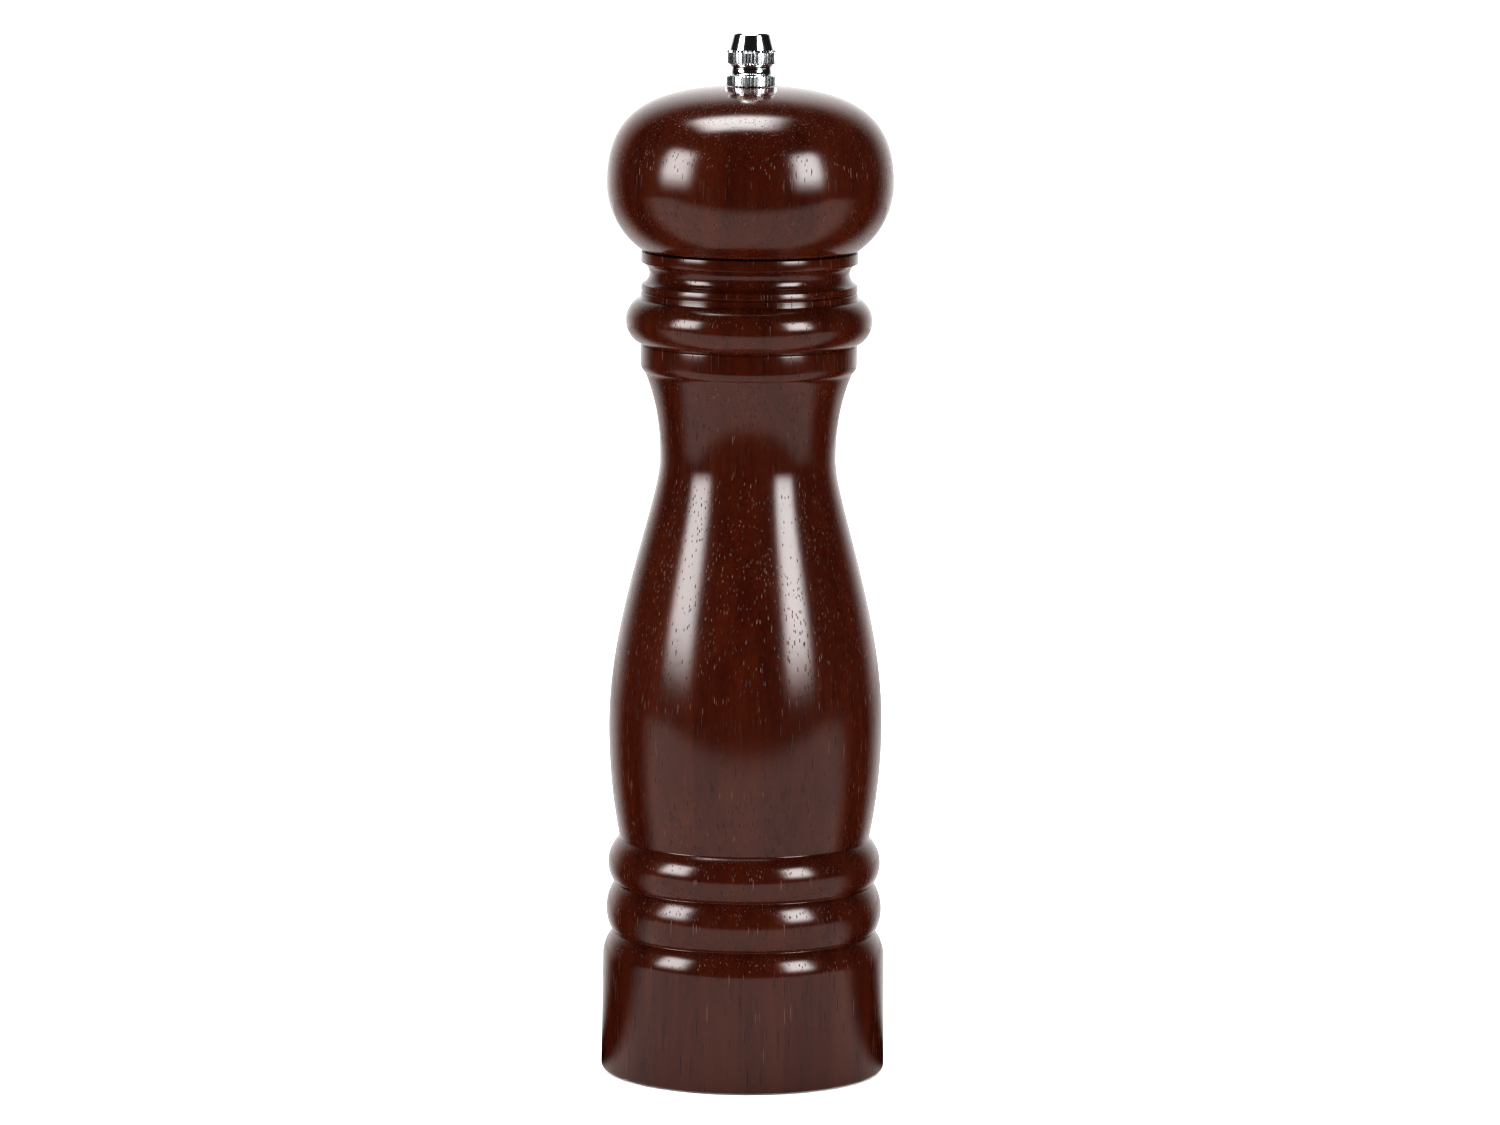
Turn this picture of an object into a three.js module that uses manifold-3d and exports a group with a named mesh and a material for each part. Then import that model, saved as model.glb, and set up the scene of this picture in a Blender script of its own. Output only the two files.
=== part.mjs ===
// A turned wooden pepper mill with a ball head. The head turns a square steel shaft, the shaft turns a
// toothed cone inside a toothed ring in the foot, and the knurled nut on top sets how far the cone is
// pulled up into the ring. Millimetres, +Z up, origin on the axis at the underside of the foot.

import * as THREE from "three";
import { mergeVertices } from "three/addons/utils/BufferGeometryUtils.js";
import Module from "manifold-3d";

const wasm = await Module();
wasm.setup();

// ---- Overall sizes -----------------------------------------------------------------------------
const OVERALL_HEIGHT = 214.6;
const BASE_RADIUS = 29.3;
const HEAD_RADIUS = 29.45;

// ---- Heights of the turned members, foot upwards -------------------------------------------------
const BASE_HEIGHT = 28.9;
const BASE_SHOULDER_HEIGHT = 5.2;
const FOOT_EDGE = 1;
const LOWER_BEAD_HEIGHT = 10.1;
const UPPER_BEAD_HEIGHT = 9.4;
const BULB_RISE = 23.8;

// ---- Heights of the turned members, nut downwards ------------------------------------------------
const NUT_HEIGHT = 10.7;
const HEAD_HEIGHT = 33.7;
const HEAD_CROWN_RISE = 13.8;
const RING_HEIGHT = 2.3;
const COVE_HEIGHT = 4.4;
const STEP_HEIGHT = 1.5;
const TORUS_HEIGHT = 9.4;
const COLLAR_HEIGHT = 5.8;
const WAIST_DROP = 18;
const INCISED_LINE = 0.3;

// ---- Walls, from the outside of the foot inwards -------------------------------------------------
const FOOT_WALL = 5.3;
const PLATE_LAND = 5;
const BORE_SHOULDER = 5.5;
const NECK_WALL = 4.6;
const COLLAR_WALL = 8.8;

// ---- How far each member stands in from the foot, or out from the collar -------------------------
const BASE_TAPER = 0.15;
const LOWER_BEAD_INSET = 0.8;
const UPPER_BEAD_INSET = 1.15;
const BULB_INSET = 1.1;
const BASE_GROOVE_INSET = 2.2;
const BEAD_GROOVE_INSET = 2.6;
const BULB_CREASE_INSET = 3.45;
const COLLAR_FOOT_INSET = 1;
const COLLAR_EDGE_HEIGHT = 2;
const TORUS_PROUD = 3.05;
const TORUS_FOOT_INSET = 0.3;
const TORUS_TOP_PROUD = 0.5;
const COVE_DEPTH = 1.7;
const HEAD_FOOT_INSET = 0.05;

// ---- How full the long curves are: the length of each handle as a share of its curve's rise -------
const BULB_FULLNESS = 0.41;
const WAIST_FULLNESS = 0.15;
const NECK_FULLNESS = 0.45;
const NECK_FLARE_HANDLE = 0.28;
const NECK_FLARE_SLOPE = 0.4;
const DOME_FULLNESS = 0.69;
const DOME_FLATNESS = 0.73;
const DOME_FALL = 0.05;

// ---- Hollows in the foot --------------------------------------------------------------------------
const RECESS_DEPTH = 10;
const BURR_HEIGHT = 14;

// ---- Shaft ------------------------------------------------------------------------------------------
const SHAFT_SIDE = 5;
const THREAD_RADIUS = 2.5;
const THREAD_LENGTH = 14;
const THREAD_IN_NUT = 4.6;
const TAIL_RADIUS = 2.4;
const TAIL_BELOW_GROOVE = 1.5;
const CLIP_GROOVE_DEPTH = 0.65;

// ---- Grinding set --------------------------------------------------------------------------------
const BURR_RIM = 5.9;
const BURR_BORE_FLARE = 1.6;
const BURR_TOOTH_DEPTH = 0.9;
const BURR_TEETH = 28;
const GRIND_GAP = 0.8;
const CONE_LIFT_OFF_RING = 0.4;
const CONE_HEIGHT = 12;
const CONE_TEETH = 14;
const CONE_TOOTH_DEPTH = 1;
const CONE_HUB_WALL = 1.5;
const CONE_TWIST = THREE.MathUtils.degToRad(30);

// ---- Sheet metal, washers and spring ---------------------------------------------------------------
const SHEET = 1;
const PLATE_OVERLAP = 4.2;
const BRIDGE_RISE = 8;
const BRIDGE_RIM = 1.5;
const DRIVE_PLATE_INSET = 1.2;
const WASHER_RIM = 2.6;
const WASHER_THICKNESS = 0.9;
const THRUST_WASHER_PROUD = 0.2;
const THRUST_WASHER_THICKNESS = 0.6;
const CLIP_THICKNESS = 0.8;
const CLIP_RIM = 2.2;
const CLIP_MOUTH = THREE.MathUtils.degToRad(38);
const SPRING_WIRE_RADIUS = 0.45;
const SPRING_TURNS = 5;

// ---- Screws ---------------------------------------------------------------------------------------
const SCREW_RADIUS = 1.3;
const SCREW_HEAD_RADIUS = 2.1;
const SCREW_HEAD_HEIGHT = 1.5;
const SCREW_POINT = 2;
const PLATE_SCREW_GRIP = 7;
const DRIVE_SCREW_GRIP = 8;
const PLATE_SCREWS = 3;

// ---- Head spigot ----------------------------------------------------------------------------------
const SPIGOT_LENGTH = 14;
const SPIGOT_EDGE = 0.8;

// ---- Nut -------------------------------------------------------------------------------------------
const NUT_RADIUS = 5.35;
const NUT_LOWER_BAND = 2.15;
const NUT_WAIST = 2.5;
const NUT_UPPER_BAND = 2.55;
const NUT_WAIST_INSET = 1.2;
const NUT_UPPER_INSET = 0.2;
const NUT_CONE_INSET = 0.7;
const NUT_TOP_INSET = 1.6;
const NUT_BORE_ROOM = 2.4;

// ---- Clearances -------------------------------------------------------------------------------------
const REST_GAP = 0.3;
const SEAT_GAP = 0.2;
const SPIGOT_CLEARANCE = 0.4;
const SHAFT_CLEARANCE = 0.3;
const SCREW_CLEARANCE = 0.3;
const BURR_CLEARANCE = 0.3;
const PLATE_CLEARANCE = 0.5;
const BRIDGE_CLEARANCE = 0.4;

// ---- How finely the round shapes are cut --------------------------------------------------------------
const WOOD_SEGMENTS = 40;
const METAL_SEGMENTS = 24;
const SMALL_SEGMENTS = 16;

// ---- Sizes that follow from the ones above ---------------------------------------------------------
const recessRadius = BASE_RADIUS - FOOT_WALL;
const pocketRadius = recessRadius - PLATE_LAND;
const boreRadius = pocketRadius - BORE_SHOULDER;
const waistRadius = boreRadius + NECK_WALL;
const collarRadius = boreRadius + COLLAR_WALL;
const spigotRadius = boreRadius - SPIGOT_CLEARANCE;
const shaftCorner = SHAFT_SIDE / Math.SQRT2;
const shaftHole = shaftCorner + SHAFT_CLEARANCE;
const squareHole = SHAFT_SIDE + 2 * SHAFT_CLEARANCE;

const seatZ = OVERALL_HEIGHT - NUT_HEIGHT;
const headTop = seatZ - SEAT_GAP;
const headFoot = seatZ - HEAD_HEIGHT;
const headCrown = headFoot + HEAD_CROWN_RISE;
const spigotFoot = headFoot - SPIGOT_LENGTH;
const bodyTop = headFoot - REST_GAP;
const coveTop = bodyTop - RING_HEIGHT;
const upperStepTop = coveTop - COVE_HEIGHT;
const lowerStepTop = upperStepTop - STEP_HEIGHT;
const torusTop = lowerStepTop - STEP_HEIGHT;
const collarTop = torusTop - TORUS_HEIGHT;
const collarFoot = collarTop - COLLAR_HEIGHT;
const waistZ = collarFoot - WAIST_DROP;
const beadsFoot = BASE_HEIGHT;
const beadsMiddle = beadsFoot + LOWER_BEAD_HEIGHT;
const bulbFoot = beadsMiddle + UPPER_BEAD_HEIGHT;
const bulbCrown = bulbFoot + BULB_RISE;

const outerBurrRadius = pocketRadius - BURR_CLEARANCE;
const burrFoot = RECESS_DEPTH;
const burrTop = burrFoot + BURR_HEIGHT;
const burrTipFoot = outerBurrRadius - BURR_RIM;
const burrTipTop = burrTipFoot - BURR_BORE_FLARE;
const bridgeFoot = burrTop + REST_GAP;
const pocketTop = bridgeFoot + SHEET + REST_GAP;
const bridgeTop = bridgeFoot + BRIDGE_RISE + SHEET;
const coneFoot = burrFoot + CONE_LIFT_OFF_RING;
const coneTop = coneFoot + CONE_HEIGHT;
const coneTipFoot = burrTipFoot - GRIND_GAP;
const coneTipTop = squareHole / Math.SQRT2 + CONE_HUB_WALL + CONE_TOOTH_DEPTH;
const plateTop = RECESS_DEPTH - REST_GAP;
const plateFoot = plateTop - SHEET;
const plateScrewRadius = (recessRadius + pocketRadius) / 2;
const washerFoot = coneFoot - REST_GAP - WASHER_THICKNESS;
const clipFoot = washerFoot - REST_GAP - CLIP_THICKNESS;
const shaftFoot = clipFoot - TAIL_BELOW_GROOVE;
const shaftTop = seatZ + THREAD_IN_NUT;
const thrustWasherTop = bridgeTop - SHEET - REST_GAP;
const thrustWasherFoot = thrustWasherTop - THRUST_WASHER_THICKNESS;
const springTop = thrustWasherFoot - REST_GAP;
const springFoot = coneTop + REST_GAP;
const springRadius = shaftHole + SPRING_WIRE_RADIUS;
const thrustWasherRadius = springRadius + SPRING_WIRE_RADIUS + THRUST_WASHER_PROUD;
const drivePlateTop = spigotFoot - REST_GAP;
const drivePlateFoot = drivePlateTop - SHEET;
const drivePlateRadius = spigotRadius - DRIVE_PLATE_INSET;
const driveScrewRadius = (squareHole / 2 + drivePlateRadius) / 2;

// ---- Shapes ---------------------------------------------------------------------------------------
const point = (r, z) => new THREE.Vector2(r, z);

// Keeps only merged positions, drops triangles of no area, and turns the faces outwards.
function closedGeometry(geometry) {
  const bare = geometry.index ? geometry.clone() : geometry;
  bare.deleteAttribute("normal");
  bare.deleteAttribute("uv");
  const merged = mergeVertices(bare);
  const position = merged.attributes.position;
  const corners = [0, 1, 2].map(() => new THREE.Vector3());
  const kept = [];
  let volume = 0;
  for (let i = 0; i < merged.index.count; i += 3) {
    const face = [0, 1, 2].map((k) => merged.index.getX(i + k));
    if (new Set(face).size < 3) continue;
    face.forEach((vertex, k) => corners[k].fromBufferAttribute(position, vertex));
    volume += corners[0].dot(corners[1].clone().cross(corners[2]));
    kept.push(...face);
  }
  if (volume < 0) kept.reverse();
  merged.setIndex(kept);
  return merged;
}

function toManifold(geometry) {
  const closed = closedGeometry(geometry);
  const vertProperties = new Float32Array(closed.attributes.position.array);
  const triVerts = new Uint32Array(closed.index.array);
  return new wasm.Manifold(new wasm.Mesh({ numProp: 3, vertProperties, triVerts }));
}

function fromManifold(solid) {
  const mesh = solid.getMesh();
  const geometry = new THREE.BufferGeometry();
  geometry.setAttribute("position", new THREE.BufferAttribute(mesh.vertProperties, 3));
  geometry.setIndex(new THREE.BufferAttribute(mesh.triVerts, 1));
  return geometry;
}

function cut(geometry, tools) {
  return fromManifold(tools.reduce((solid, tool) => solid.subtract(toManifold(tool)), toManifold(geometry)));
}

function join(geometries) {
  return fromManifold(geometries.map(toManifold).reduce((solid, next) => solid.add(next)));
}

// A closed outline of points (radius, height) turned about the Z axis.
function turned(outline, segments) {
  const closedOutline = [...outline, outline[0].clone()];
  return closedGeometry(new THREE.LatheGeometry(closedOutline, segments).rotateX(Math.PI / 2));
}

// A round bar between two heights. Its outline starts and ends on the axis.
function rod(radius, foot, top, segments = SMALL_SEGMENTS) {
  const outline = [point(0, foot), point(radius, foot), point(radius, top), point(0, top)];
  return closedGeometry(new THREE.LatheGeometry(outline, segments).rotateX(Math.PI / 2));
}

function washer(inner, outer, foot, thickness) {
  const top = foot + thickness;
  return turned([point(inner, foot), point(outer, foot), point(outer, top), point(inner, top)], METAL_SEGMENTS);
}

// Points on the circle through three points, without the first one.
function roundThrough(start, middle, end, steps) {
  const a = middle.clone().sub(start);
  const b = end.clone().sub(start);
  const d = 2 * a.cross(b);
  const centre = point(
    start.x + (b.y * a.lengthSq() - a.y * b.lengthSq()) / d,
    start.y + (a.x * b.lengthSq() - b.x * a.lengthSq()) / d,
  );
  const radius = centre.distanceTo(start);
  const from = start.clone().sub(centre).angle();
  const full = 2 * Math.PI;
  const turn = (target) => (target.clone().sub(centre).angle() - from + full) % full;
  const sweep = turn(middle) < turn(end) ? turn(end) : turn(end) - full;
  return Array.from({ length: steps }, (_, i) => {
    const angle = from + (sweep * (i + 1)) / steps;
    return point(centre.x + radius * Math.cos(angle), centre.y + radius * Math.sin(angle));
  });
}

// A round that leaves a crown straight up or down and ends at a point, without the crown.
function roundFromCrown(crown, end, steps) {
  const mirrored = point(end.x, 2 * crown.y - end.y);
  const whole = roundThrough(mirrored, crown, end, 2 * steps);
  return whole.slice(steps);
}

// A smooth curve with a handle at each end, without its first point.
function sweep(start, startHandle, endHandle, end, steps) {
  return new THREE.CubicBezierCurve(start, startHandle, endHandle, end).getPoints(steps).slice(1);
}

// A bead that starts just above the bottom of a groove and swells to its crown.
function bead(groove, crown, end) {
  const start = point(groove.x + INCISED_LINE, groove.y + INCISED_LINE);
  return [start, ...roundThrough(start, crown, end, 6)];
}

function bodyOutline() {
  const baseGroove = point(BASE_RADIUS - BASE_GROOVE_INSET, beadsFoot);
  const beadGroove = point(BASE_RADIUS - BEAD_GROOVE_INSET, beadsMiddle);
  const crease = point(BASE_RADIUS - BULB_CREASE_INSET, bulbFoot);
  const shoulder = point(BASE_RADIUS - BASE_TAPER, beadsFoot - BASE_SHOULDER_HEIGHT);
  const lowerBead = point(BASE_RADIUS - LOWER_BEAD_INSET, (beadsFoot + beadsMiddle) / 2);
  const upperBead = point(BASE_RADIUS - UPPER_BEAD_INSET, (beadsMiddle + bulbFoot) / 2);
  const bulb = point(BASE_RADIUS - BULB_INSET, bulbCrown);
  const waist = point(waistRadius, waistZ);
  const neckTop = point(collarRadius - COLLAR_FOOT_INSET, collarFoot);
  const neckLength = waistZ - bulbCrown;
  const bulbHandle = point(bulb.x, bulbCrown + neckLength * BULB_FULLNESS);
  const belowWaist = point(waistRadius, waistZ - neckLength * WAIST_FULLNESS);
  const aboveWaist = point(waistRadius, waistZ + WAIST_DROP * NECK_FULLNESS);
  const flare = WAIST_DROP * NECK_FLARE_HANDLE;
  const belowCollar = point(neckTop.x - flare * NECK_FLARE_SLOPE, neckTop.y - flare);
  const collarRound = point(collarRadius, collarFoot + COLLAR_EDGE_HEIGHT);
  const torusFoot = point(collarRadius - TORUS_FOOT_INSET, collarTop);
  const torusCrown = point(collarRadius + TORUS_PROUD, (collarTop + torusTop) / 2);
  const torusEnd = point(collarRadius + TORUS_TOP_PROUD, torusTop);
  const coveFoot = point(collarRadius - INCISED_LINE / 2, upperStepTop);
  const coveMiddle = point(collarRadius - COVE_DEPTH, (upperStepTop + coveTop) / 2);
  const coveEnd = point(collarRadius - INCISED_LINE, coveTop);
  return [
    point(recessRadius, 0),
    point(BASE_RADIUS - FOOT_EDGE, 0),
    ...roundThrough(
      point(BASE_RADIUS - FOOT_EDGE, 0),
      point(BASE_RADIUS - FOOT_EDGE * (1 - Math.SQRT1_2), FOOT_EDGE * (1 - Math.SQRT1_2)),
      point(BASE_RADIUS, FOOT_EDGE),
      3,
    ),
    shoulder,
    ...roundFromCrown(shoulder, point(baseGroove.x + INCISED_LINE, beadsFoot - INCISED_LINE), 3),
    baseGroove,
    ...bead(baseGroove, lowerBead, point(beadGroove.x + INCISED_LINE, beadsMiddle - INCISED_LINE)),
    beadGroove,
    ...bead(beadGroove, upperBead, crease),
    ...roundFromCrown(bulb, crease, 4).reverse().slice(1),
    bulb,
    ...sweep(bulb, bulbHandle, belowWaist, waist, 8),
    ...sweep(waist, aboveWaist, belowCollar, neckTop, 5),
    ...roundFromCrown(collarRound, neckTop, 2).reverse().slice(1),
    collarRound,
    point(collarRadius, collarTop - INCISED_LINE),
    torusFoot,
    ...roundThrough(torusFoot, torusCrown, torusEnd, 8),
    point(collarRadius, torusTop),
    point(collarRadius, lowerStepTop - INCISED_LINE),
    point(collarRadius - INCISED_LINE, lowerStepTop),
    point(collarRadius, lowerStepTop + INCISED_LINE),
    coveFoot,
    ...roundThrough(coveFoot, coveMiddle, coveEnd, 6),
    point(collarRadius, coveTop),
    point(collarRadius, bodyTop),
    point(boreRadius, bodyTop),
    point(boreRadius, pocketTop),
    point(pocketRadius, pocketTop),
    point(pocketRadius, RECESS_DEPTH),
    point(recessRadius, RECESS_DEPTH),
  ];
}

// The screw holes in the foot are set round the ring of wood between the recess and the burr's pocket.
function bodyGeometry() {
  const holeTop = plateFoot - REST_GAP + PLATE_SCREW_GRIP + SHEET + REST_GAP;
  const holes = screwAngles().map((angle) => {
    const hole = rod(SCREW_RADIUS + SCREW_CLEARANCE, RECESS_DEPTH / 2, holeTop);
    return hole.translate(plateScrewRadius * Math.cos(angle), plateScrewRadius * Math.sin(angle), 0);
  });
  return cut(turned(bodyOutline(), WOOD_SEGMENTS), holes);
}

function screwAngles() {
  return Array.from({ length: PLATE_SCREWS }, (_, i) => Math.PI / 2 + (i * 2 * Math.PI) / PLATE_SCREWS);
}

function headGeometry() {
  const crown = point(HEAD_RADIUS, headCrown);
  const foot = point(collarRadius - HEAD_FOOT_INSET, headFoot);
  const seat = point(NUT_RADIUS + SEAT_GAP, headTop);
  const domeRise = headTop - headCrown;
  const crownHandle = point(HEAD_RADIUS, headCrown + domeRise * DOME_FULLNESS);
  const seatHandle = point(HEAD_RADIUS * DOME_FLATNESS, headTop - domeRise * DOME_FALL);
  const outline = [
    point(shaftHole, spigotFoot),
    point(spigotRadius - SPIGOT_EDGE, spigotFoot),
    point(spigotRadius, spigotFoot + SPIGOT_EDGE),
    point(spigotRadius, headFoot),
    foot,
    ...roundFromCrown(crown, foot, 5).reverse().slice(1),
    crown,
    ...sweep(crown, crownHandle, seatHandle, seat, 9),
    point(shaftHole, headTop),
  ];
  const holeTop = drivePlateFoot + DRIVE_SCREW_GRIP + SHEET + REST_GAP;
  const holes = [-1, 1].map((side) => {
    const hole = rod(SCREW_RADIUS + SCREW_CLEARANCE, spigotFoot - SHEET, holeTop);
    return hole.translate(side * driveScrewRadius, 0, 0);
  });
  return cut(turned(outline, WOOD_SEGMENTS), holes);
}

// Two knurled bands with a hollow waist between them and a coned top, tapped from below.
function nutGeometry() {
  const bore = THREAD_RADIUS + SHAFT_CLEARANCE;
  const boreTop = shaftTop + NUT_BORE_ROOM;
  const lowerBandTop = seatZ + NUT_LOWER_BAND;
  const waistTop = lowerBandTop + NUT_WAIST;
  const upperBandTop = waistTop + NUT_UPPER_BAND;
  const upperRadius = NUT_RADIUS - NUT_UPPER_INSET;
  const outline = [
    point(0, boreTop),
    point(bore, boreTop),
    point(bore, seatZ),
    point(NUT_RADIUS, seatZ),
    point(NUT_RADIUS, lowerBandTop),
    point(NUT_RADIUS - NUT_WAIST_INSET, (lowerBandTop + waistTop) / 2),
    point(upperRadius, waistTop),
    point(upperRadius, upperBandTop),
    point(NUT_RADIUS - NUT_CONE_INSET, upperBandTop),
    point(NUT_RADIUS - NUT_TOP_INSET, OVERALL_HEIGHT),
    point(0, OVERALL_HEIGHT),
  ];
  return closedGeometry(new THREE.LatheGeometry(outline, METAL_SEGMENTS).rotateX(Math.PI / 2));
}

// A square bar with a round thread at the top and a turned tail that carries the clip's groove.
function shaftGeometry() {
  const squareTop = shaftTop - THREAD_LENGTH;
  const squareLength = squareTop - coneFoot;
  const bar = new THREE.BoxGeometry(SHAFT_SIDE, SHAFT_SIDE, squareLength);
  bar.translate(0, 0, coneFoot + squareLength / 2);
  const grooveFoot = clipFoot - SEAT_GAP;
  const grooveTop = clipFoot + CLIP_THICKNESS + SEAT_GAP;
  const groove = TAIL_RADIUS - CLIP_GROOVE_DEPTH;
  const tailOutline = [
    point(0, shaftFoot),
    point(TAIL_RADIUS, shaftFoot),
    point(TAIL_RADIUS, grooveFoot),
    point(groove, grooveFoot),
    point(groove, grooveTop),
    point(TAIL_RADIUS, grooveTop),
    point(TAIL_RADIUS, coneFoot + 1),
    point(0, coneFoot + 1),
  ];
  const tail = new THREE.LatheGeometry(tailOutline, SMALL_SEGMENTS).rotateX(Math.PI / 2);
  const thread = rod(THREAD_RADIUS, squareTop - 1, shaftTop);
  return join([bar, tail, thread]);
}

function squarePath(side) {
  const h = side / 2;
  return new THREE.Path([point(-h, -h), point(h, -h), point(h, h), point(-h, h)]);
}

function roundPath(radius, x = 0, y = 0) {
  return new THREE.Path().absarc(x, y, radius, 0, 2 * Math.PI, true);
}

// Corners of a ring of teeth, alternating between two radii.
function toothedCorners(evenRadius, oddRadius, teeth) {
  return Array.from({ length: 2 * teeth }, (_, i) => {
    const radius = i % 2 ? oddRadius : evenRadius;
    const angle = (i * Math.PI) / teeth;
    return point(radius * Math.cos(angle), radius * Math.sin(angle));
  });
}

function plateFrom(shape, foot, thickness, steps = 1) {
  const options = { depth: thickness, steps, bevelEnabled: false, curveSegments: METAL_SEGMENTS };
  return new THREE.ExtrudeGeometry(shape, options).translate(0, 0, foot);
}

// Moves the toothed corners of an upright bar in or out, and round, evenly from its foot to its top.
function taper(geometry, foot, height, isToothed, growth, twist) {
  const position = geometry.attributes.position;
  for (let i = 0; i < position.count; i += 1) {
    const radius = Math.hypot(position.getX(i), position.getY(i));
    if (!isToothed(radius)) continue;
    const share = (position.getZ(i) - foot) / height;
    const angle = Math.atan2(position.getY(i), position.getX(i)) + twist * share;
    const moved = radius + growth * share;
    position.setXY(i, moved * Math.cos(angle), moved * Math.sin(angle));
  }
  return geometry;
}

function outerBurrGeometry() {
  const shape = new THREE.Shape().absarc(0, 0, outerBurrRadius, 0, 2 * Math.PI, false);
  const rootFoot = burrTipFoot + BURR_TOOTH_DEPTH;
  shape.holes.push(new THREE.Path(toothedCorners(rootFoot, burrTipFoot, BURR_TEETH)));
  const ring = plateFrom(shape, burrFoot, BURR_HEIGHT);
  const isToothed = (radius) => radius < rootFoot + BURR_TOOTH_DEPTH / 2;
  return taper(ring, burrFoot, BURR_HEIGHT, isToothed, burrTipTop - burrTipFoot, 0);
}

function innerBurrGeometry() {
  const rootFoot = coneTipFoot - CONE_TOOTH_DEPTH;
  const shape = new THREE.Shape(toothedCorners(coneTipFoot, rootFoot, CONE_TEETH));
  shape.holes.push(squarePath(squareHole));
  const bar = plateFrom(shape, coneFoot, CONE_HEIGHT, 3);
  const isToothed = (radius) => radius > rootFoot - CONE_TOOTH_DEPTH / 2;
  return taper(bar, coneFoot, CONE_HEIGHT, isToothed, coneTipTop - coneTipFoot, CONE_TWIST);
}

// A strip bent like a hat: its feet lie on the outer burr and its crown bridges the shaft.
function bridgeGeometry() {
  const halfWidth = shaftHole + BRIDGE_RIM;
  const inside = (radius) => Math.sqrt((radius - BRIDGE_CLEARANCE) ** 2 - halfWidth ** 2);
  const toe = inside(pocketRadius);
  const knee = inside(boreRadius);
  const shoulder = thrustWasherRadius + REST_GAP + SHEET;
  const foot = bridgeFoot;
  const top = bridgeTop;
  const right = [
    [toe, foot],
    [toe, foot + SHEET],
    [knee, foot + SHEET],
    [shoulder, top],
  ];
  const under = [
    [shoulder - SHEET, top - SHEET],
    [knee - SHEET, foot],
  ];
  const corners = [
    ...right.map(([x, z]) => point(x, z)),
    ...right.map(([x, z]) => point(-x, z)).reverse(),
    ...under.map(([x, z]) => point(-x, z)).reverse(),
    ...under.map(([x, z]) => point(x, z)),
  ];
  const options = { depth: 2 * halfWidth, bevelEnabled: false };
  const strip = new THREE.ExtrudeGeometry(new THREE.Shape(corners), options);
  strip.rotateX(Math.PI / 2).translate(0, halfWidth, 0);
  return cut(strip, [rod(shaftHole, top - 2 * SHEET, top + SHEET, METAL_SEGMENTS)]);
}

function retainingPlateGeometry() {
  const shape = new THREE.Shape().absarc(0, 0, recessRadius - PLATE_CLEARANCE, 0, 2 * Math.PI, false);
  shape.holes.push(roundPath(outerBurrRadius - PLATE_OVERLAP));
  screwAngles().forEach((angle) => {
    const x = plateScrewRadius * Math.cos(angle);
    const y = plateScrewRadius * Math.sin(angle);
    shape.holes.push(roundPath(SCREW_RADIUS + SCREW_CLEARANCE, x, y));
  });
  return plateFrom(shape, plateFoot, SHEET);
}

function drivePlateGeometry() {
  const shape = new THREE.Shape().absarc(0, 0, drivePlateRadius, 0, 2 * Math.PI, false);
  shape.holes.push(squarePath(squareHole));
  [-1, 1].forEach((side) => {
    shape.holes.push(roundPath(SCREW_RADIUS + SCREW_CLEARANCE, side * driveScrewRadius, 0));
  });
  return plateFrom(shape, drivePlateFoot, SHEET);
}

function clipGeometry() {
  const inner = TAIL_RADIUS - CLIP_GROOVE_DEPTH + SHAFT_CLEARANCE;
  const shape = new THREE.Shape();
  shape.absarc(0, 0, inner + CLIP_RIM, CLIP_MOUTH, 2 * Math.PI - CLIP_MOUTH, false);
  shape.absarc(0, 0, inner, 2 * Math.PI - CLIP_MOUTH, CLIP_MOUTH, true);
  return plateFrom(shape, clipFoot, CLIP_THICKNESS);
}

class Helix extends THREE.Curve {
  constructor(radius, foot, top, turns) {
    super();
    Object.assign(this, { radius, foot, top, turns });
  }

  getPoint(t, target = new THREE.Vector3()) {
    const angle = 2 * Math.PI * this.turns * t;
    const height = this.foot + (this.top - this.foot) * t;
    return target.set(this.radius * Math.cos(angle), this.radius * Math.sin(angle), height);
  }
}

function springGeometry() {
  const foot = springFoot + SPRING_WIRE_RADIUS;
  const top = springTop - SPRING_WIRE_RADIUS;
  const wire = new THREE.Shape().absarc(0, 0, SPRING_WIRE_RADIUS, 0, 2 * Math.PI, false);
  return new THREE.ExtrudeGeometry(wire, {
    steps: SPRING_TURNS * 14,
    curveSegments: 4,
    extrudePath: new Helix(springRadius, foot, top, SPRING_TURNS),
  });
}

// A pan-head wood screw standing point upwards, with the underside of its head at height 0.
function screwGeometry(length) {
  const outline = [
    point(0, -SCREW_HEAD_HEIGHT),
    point(SCREW_HEAD_RADIUS * 0.7, -SCREW_HEAD_HEIGHT),
    point(SCREW_HEAD_RADIUS, -SCREW_HEAD_HEIGHT / 2),
    point(SCREW_HEAD_RADIUS, 0),
    point(SCREW_RADIUS, 0),
    point(SCREW_RADIUS, length - SCREW_POINT),
    point(0, length),
  ];
  return closedGeometry(new THREE.LatheGeometry(outline, SMALL_SEGMENTS).rotateX(Math.PI / 2));
}

// ---- Finishes ---------------------------------------------------------------------------------------
const lacqueredWood = { color: 0x4a1d12, roughness: 0.16, metalness: 0 };
const chrome = { color: 0xd8dadc, roughness: 0.06, metalness: 1 };
const zincSteel = { color: 0xb4b6b5, roughness: 0.32, metalness: 1 };
const burrSteel = { color: 0x6f6f72, roughness: 0.45, metalness: 1 };
const springSteel = { color: 0x8e9094, roughness: 0.28, metalness: 1 };

function piece(name, geometry, finish) {
  const mesh = new THREE.Mesh(closedGeometry(geometry), new THREE.MeshStandardMaterial(finish));
  mesh.name = name;
  return mesh;
}

function placed(mesh, x, y, z) {
  mesh.position.set(x, y, z);
  return mesh;
}

function groupOf(...children) {
  return new THREE.Group().add(...children);
}

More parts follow.
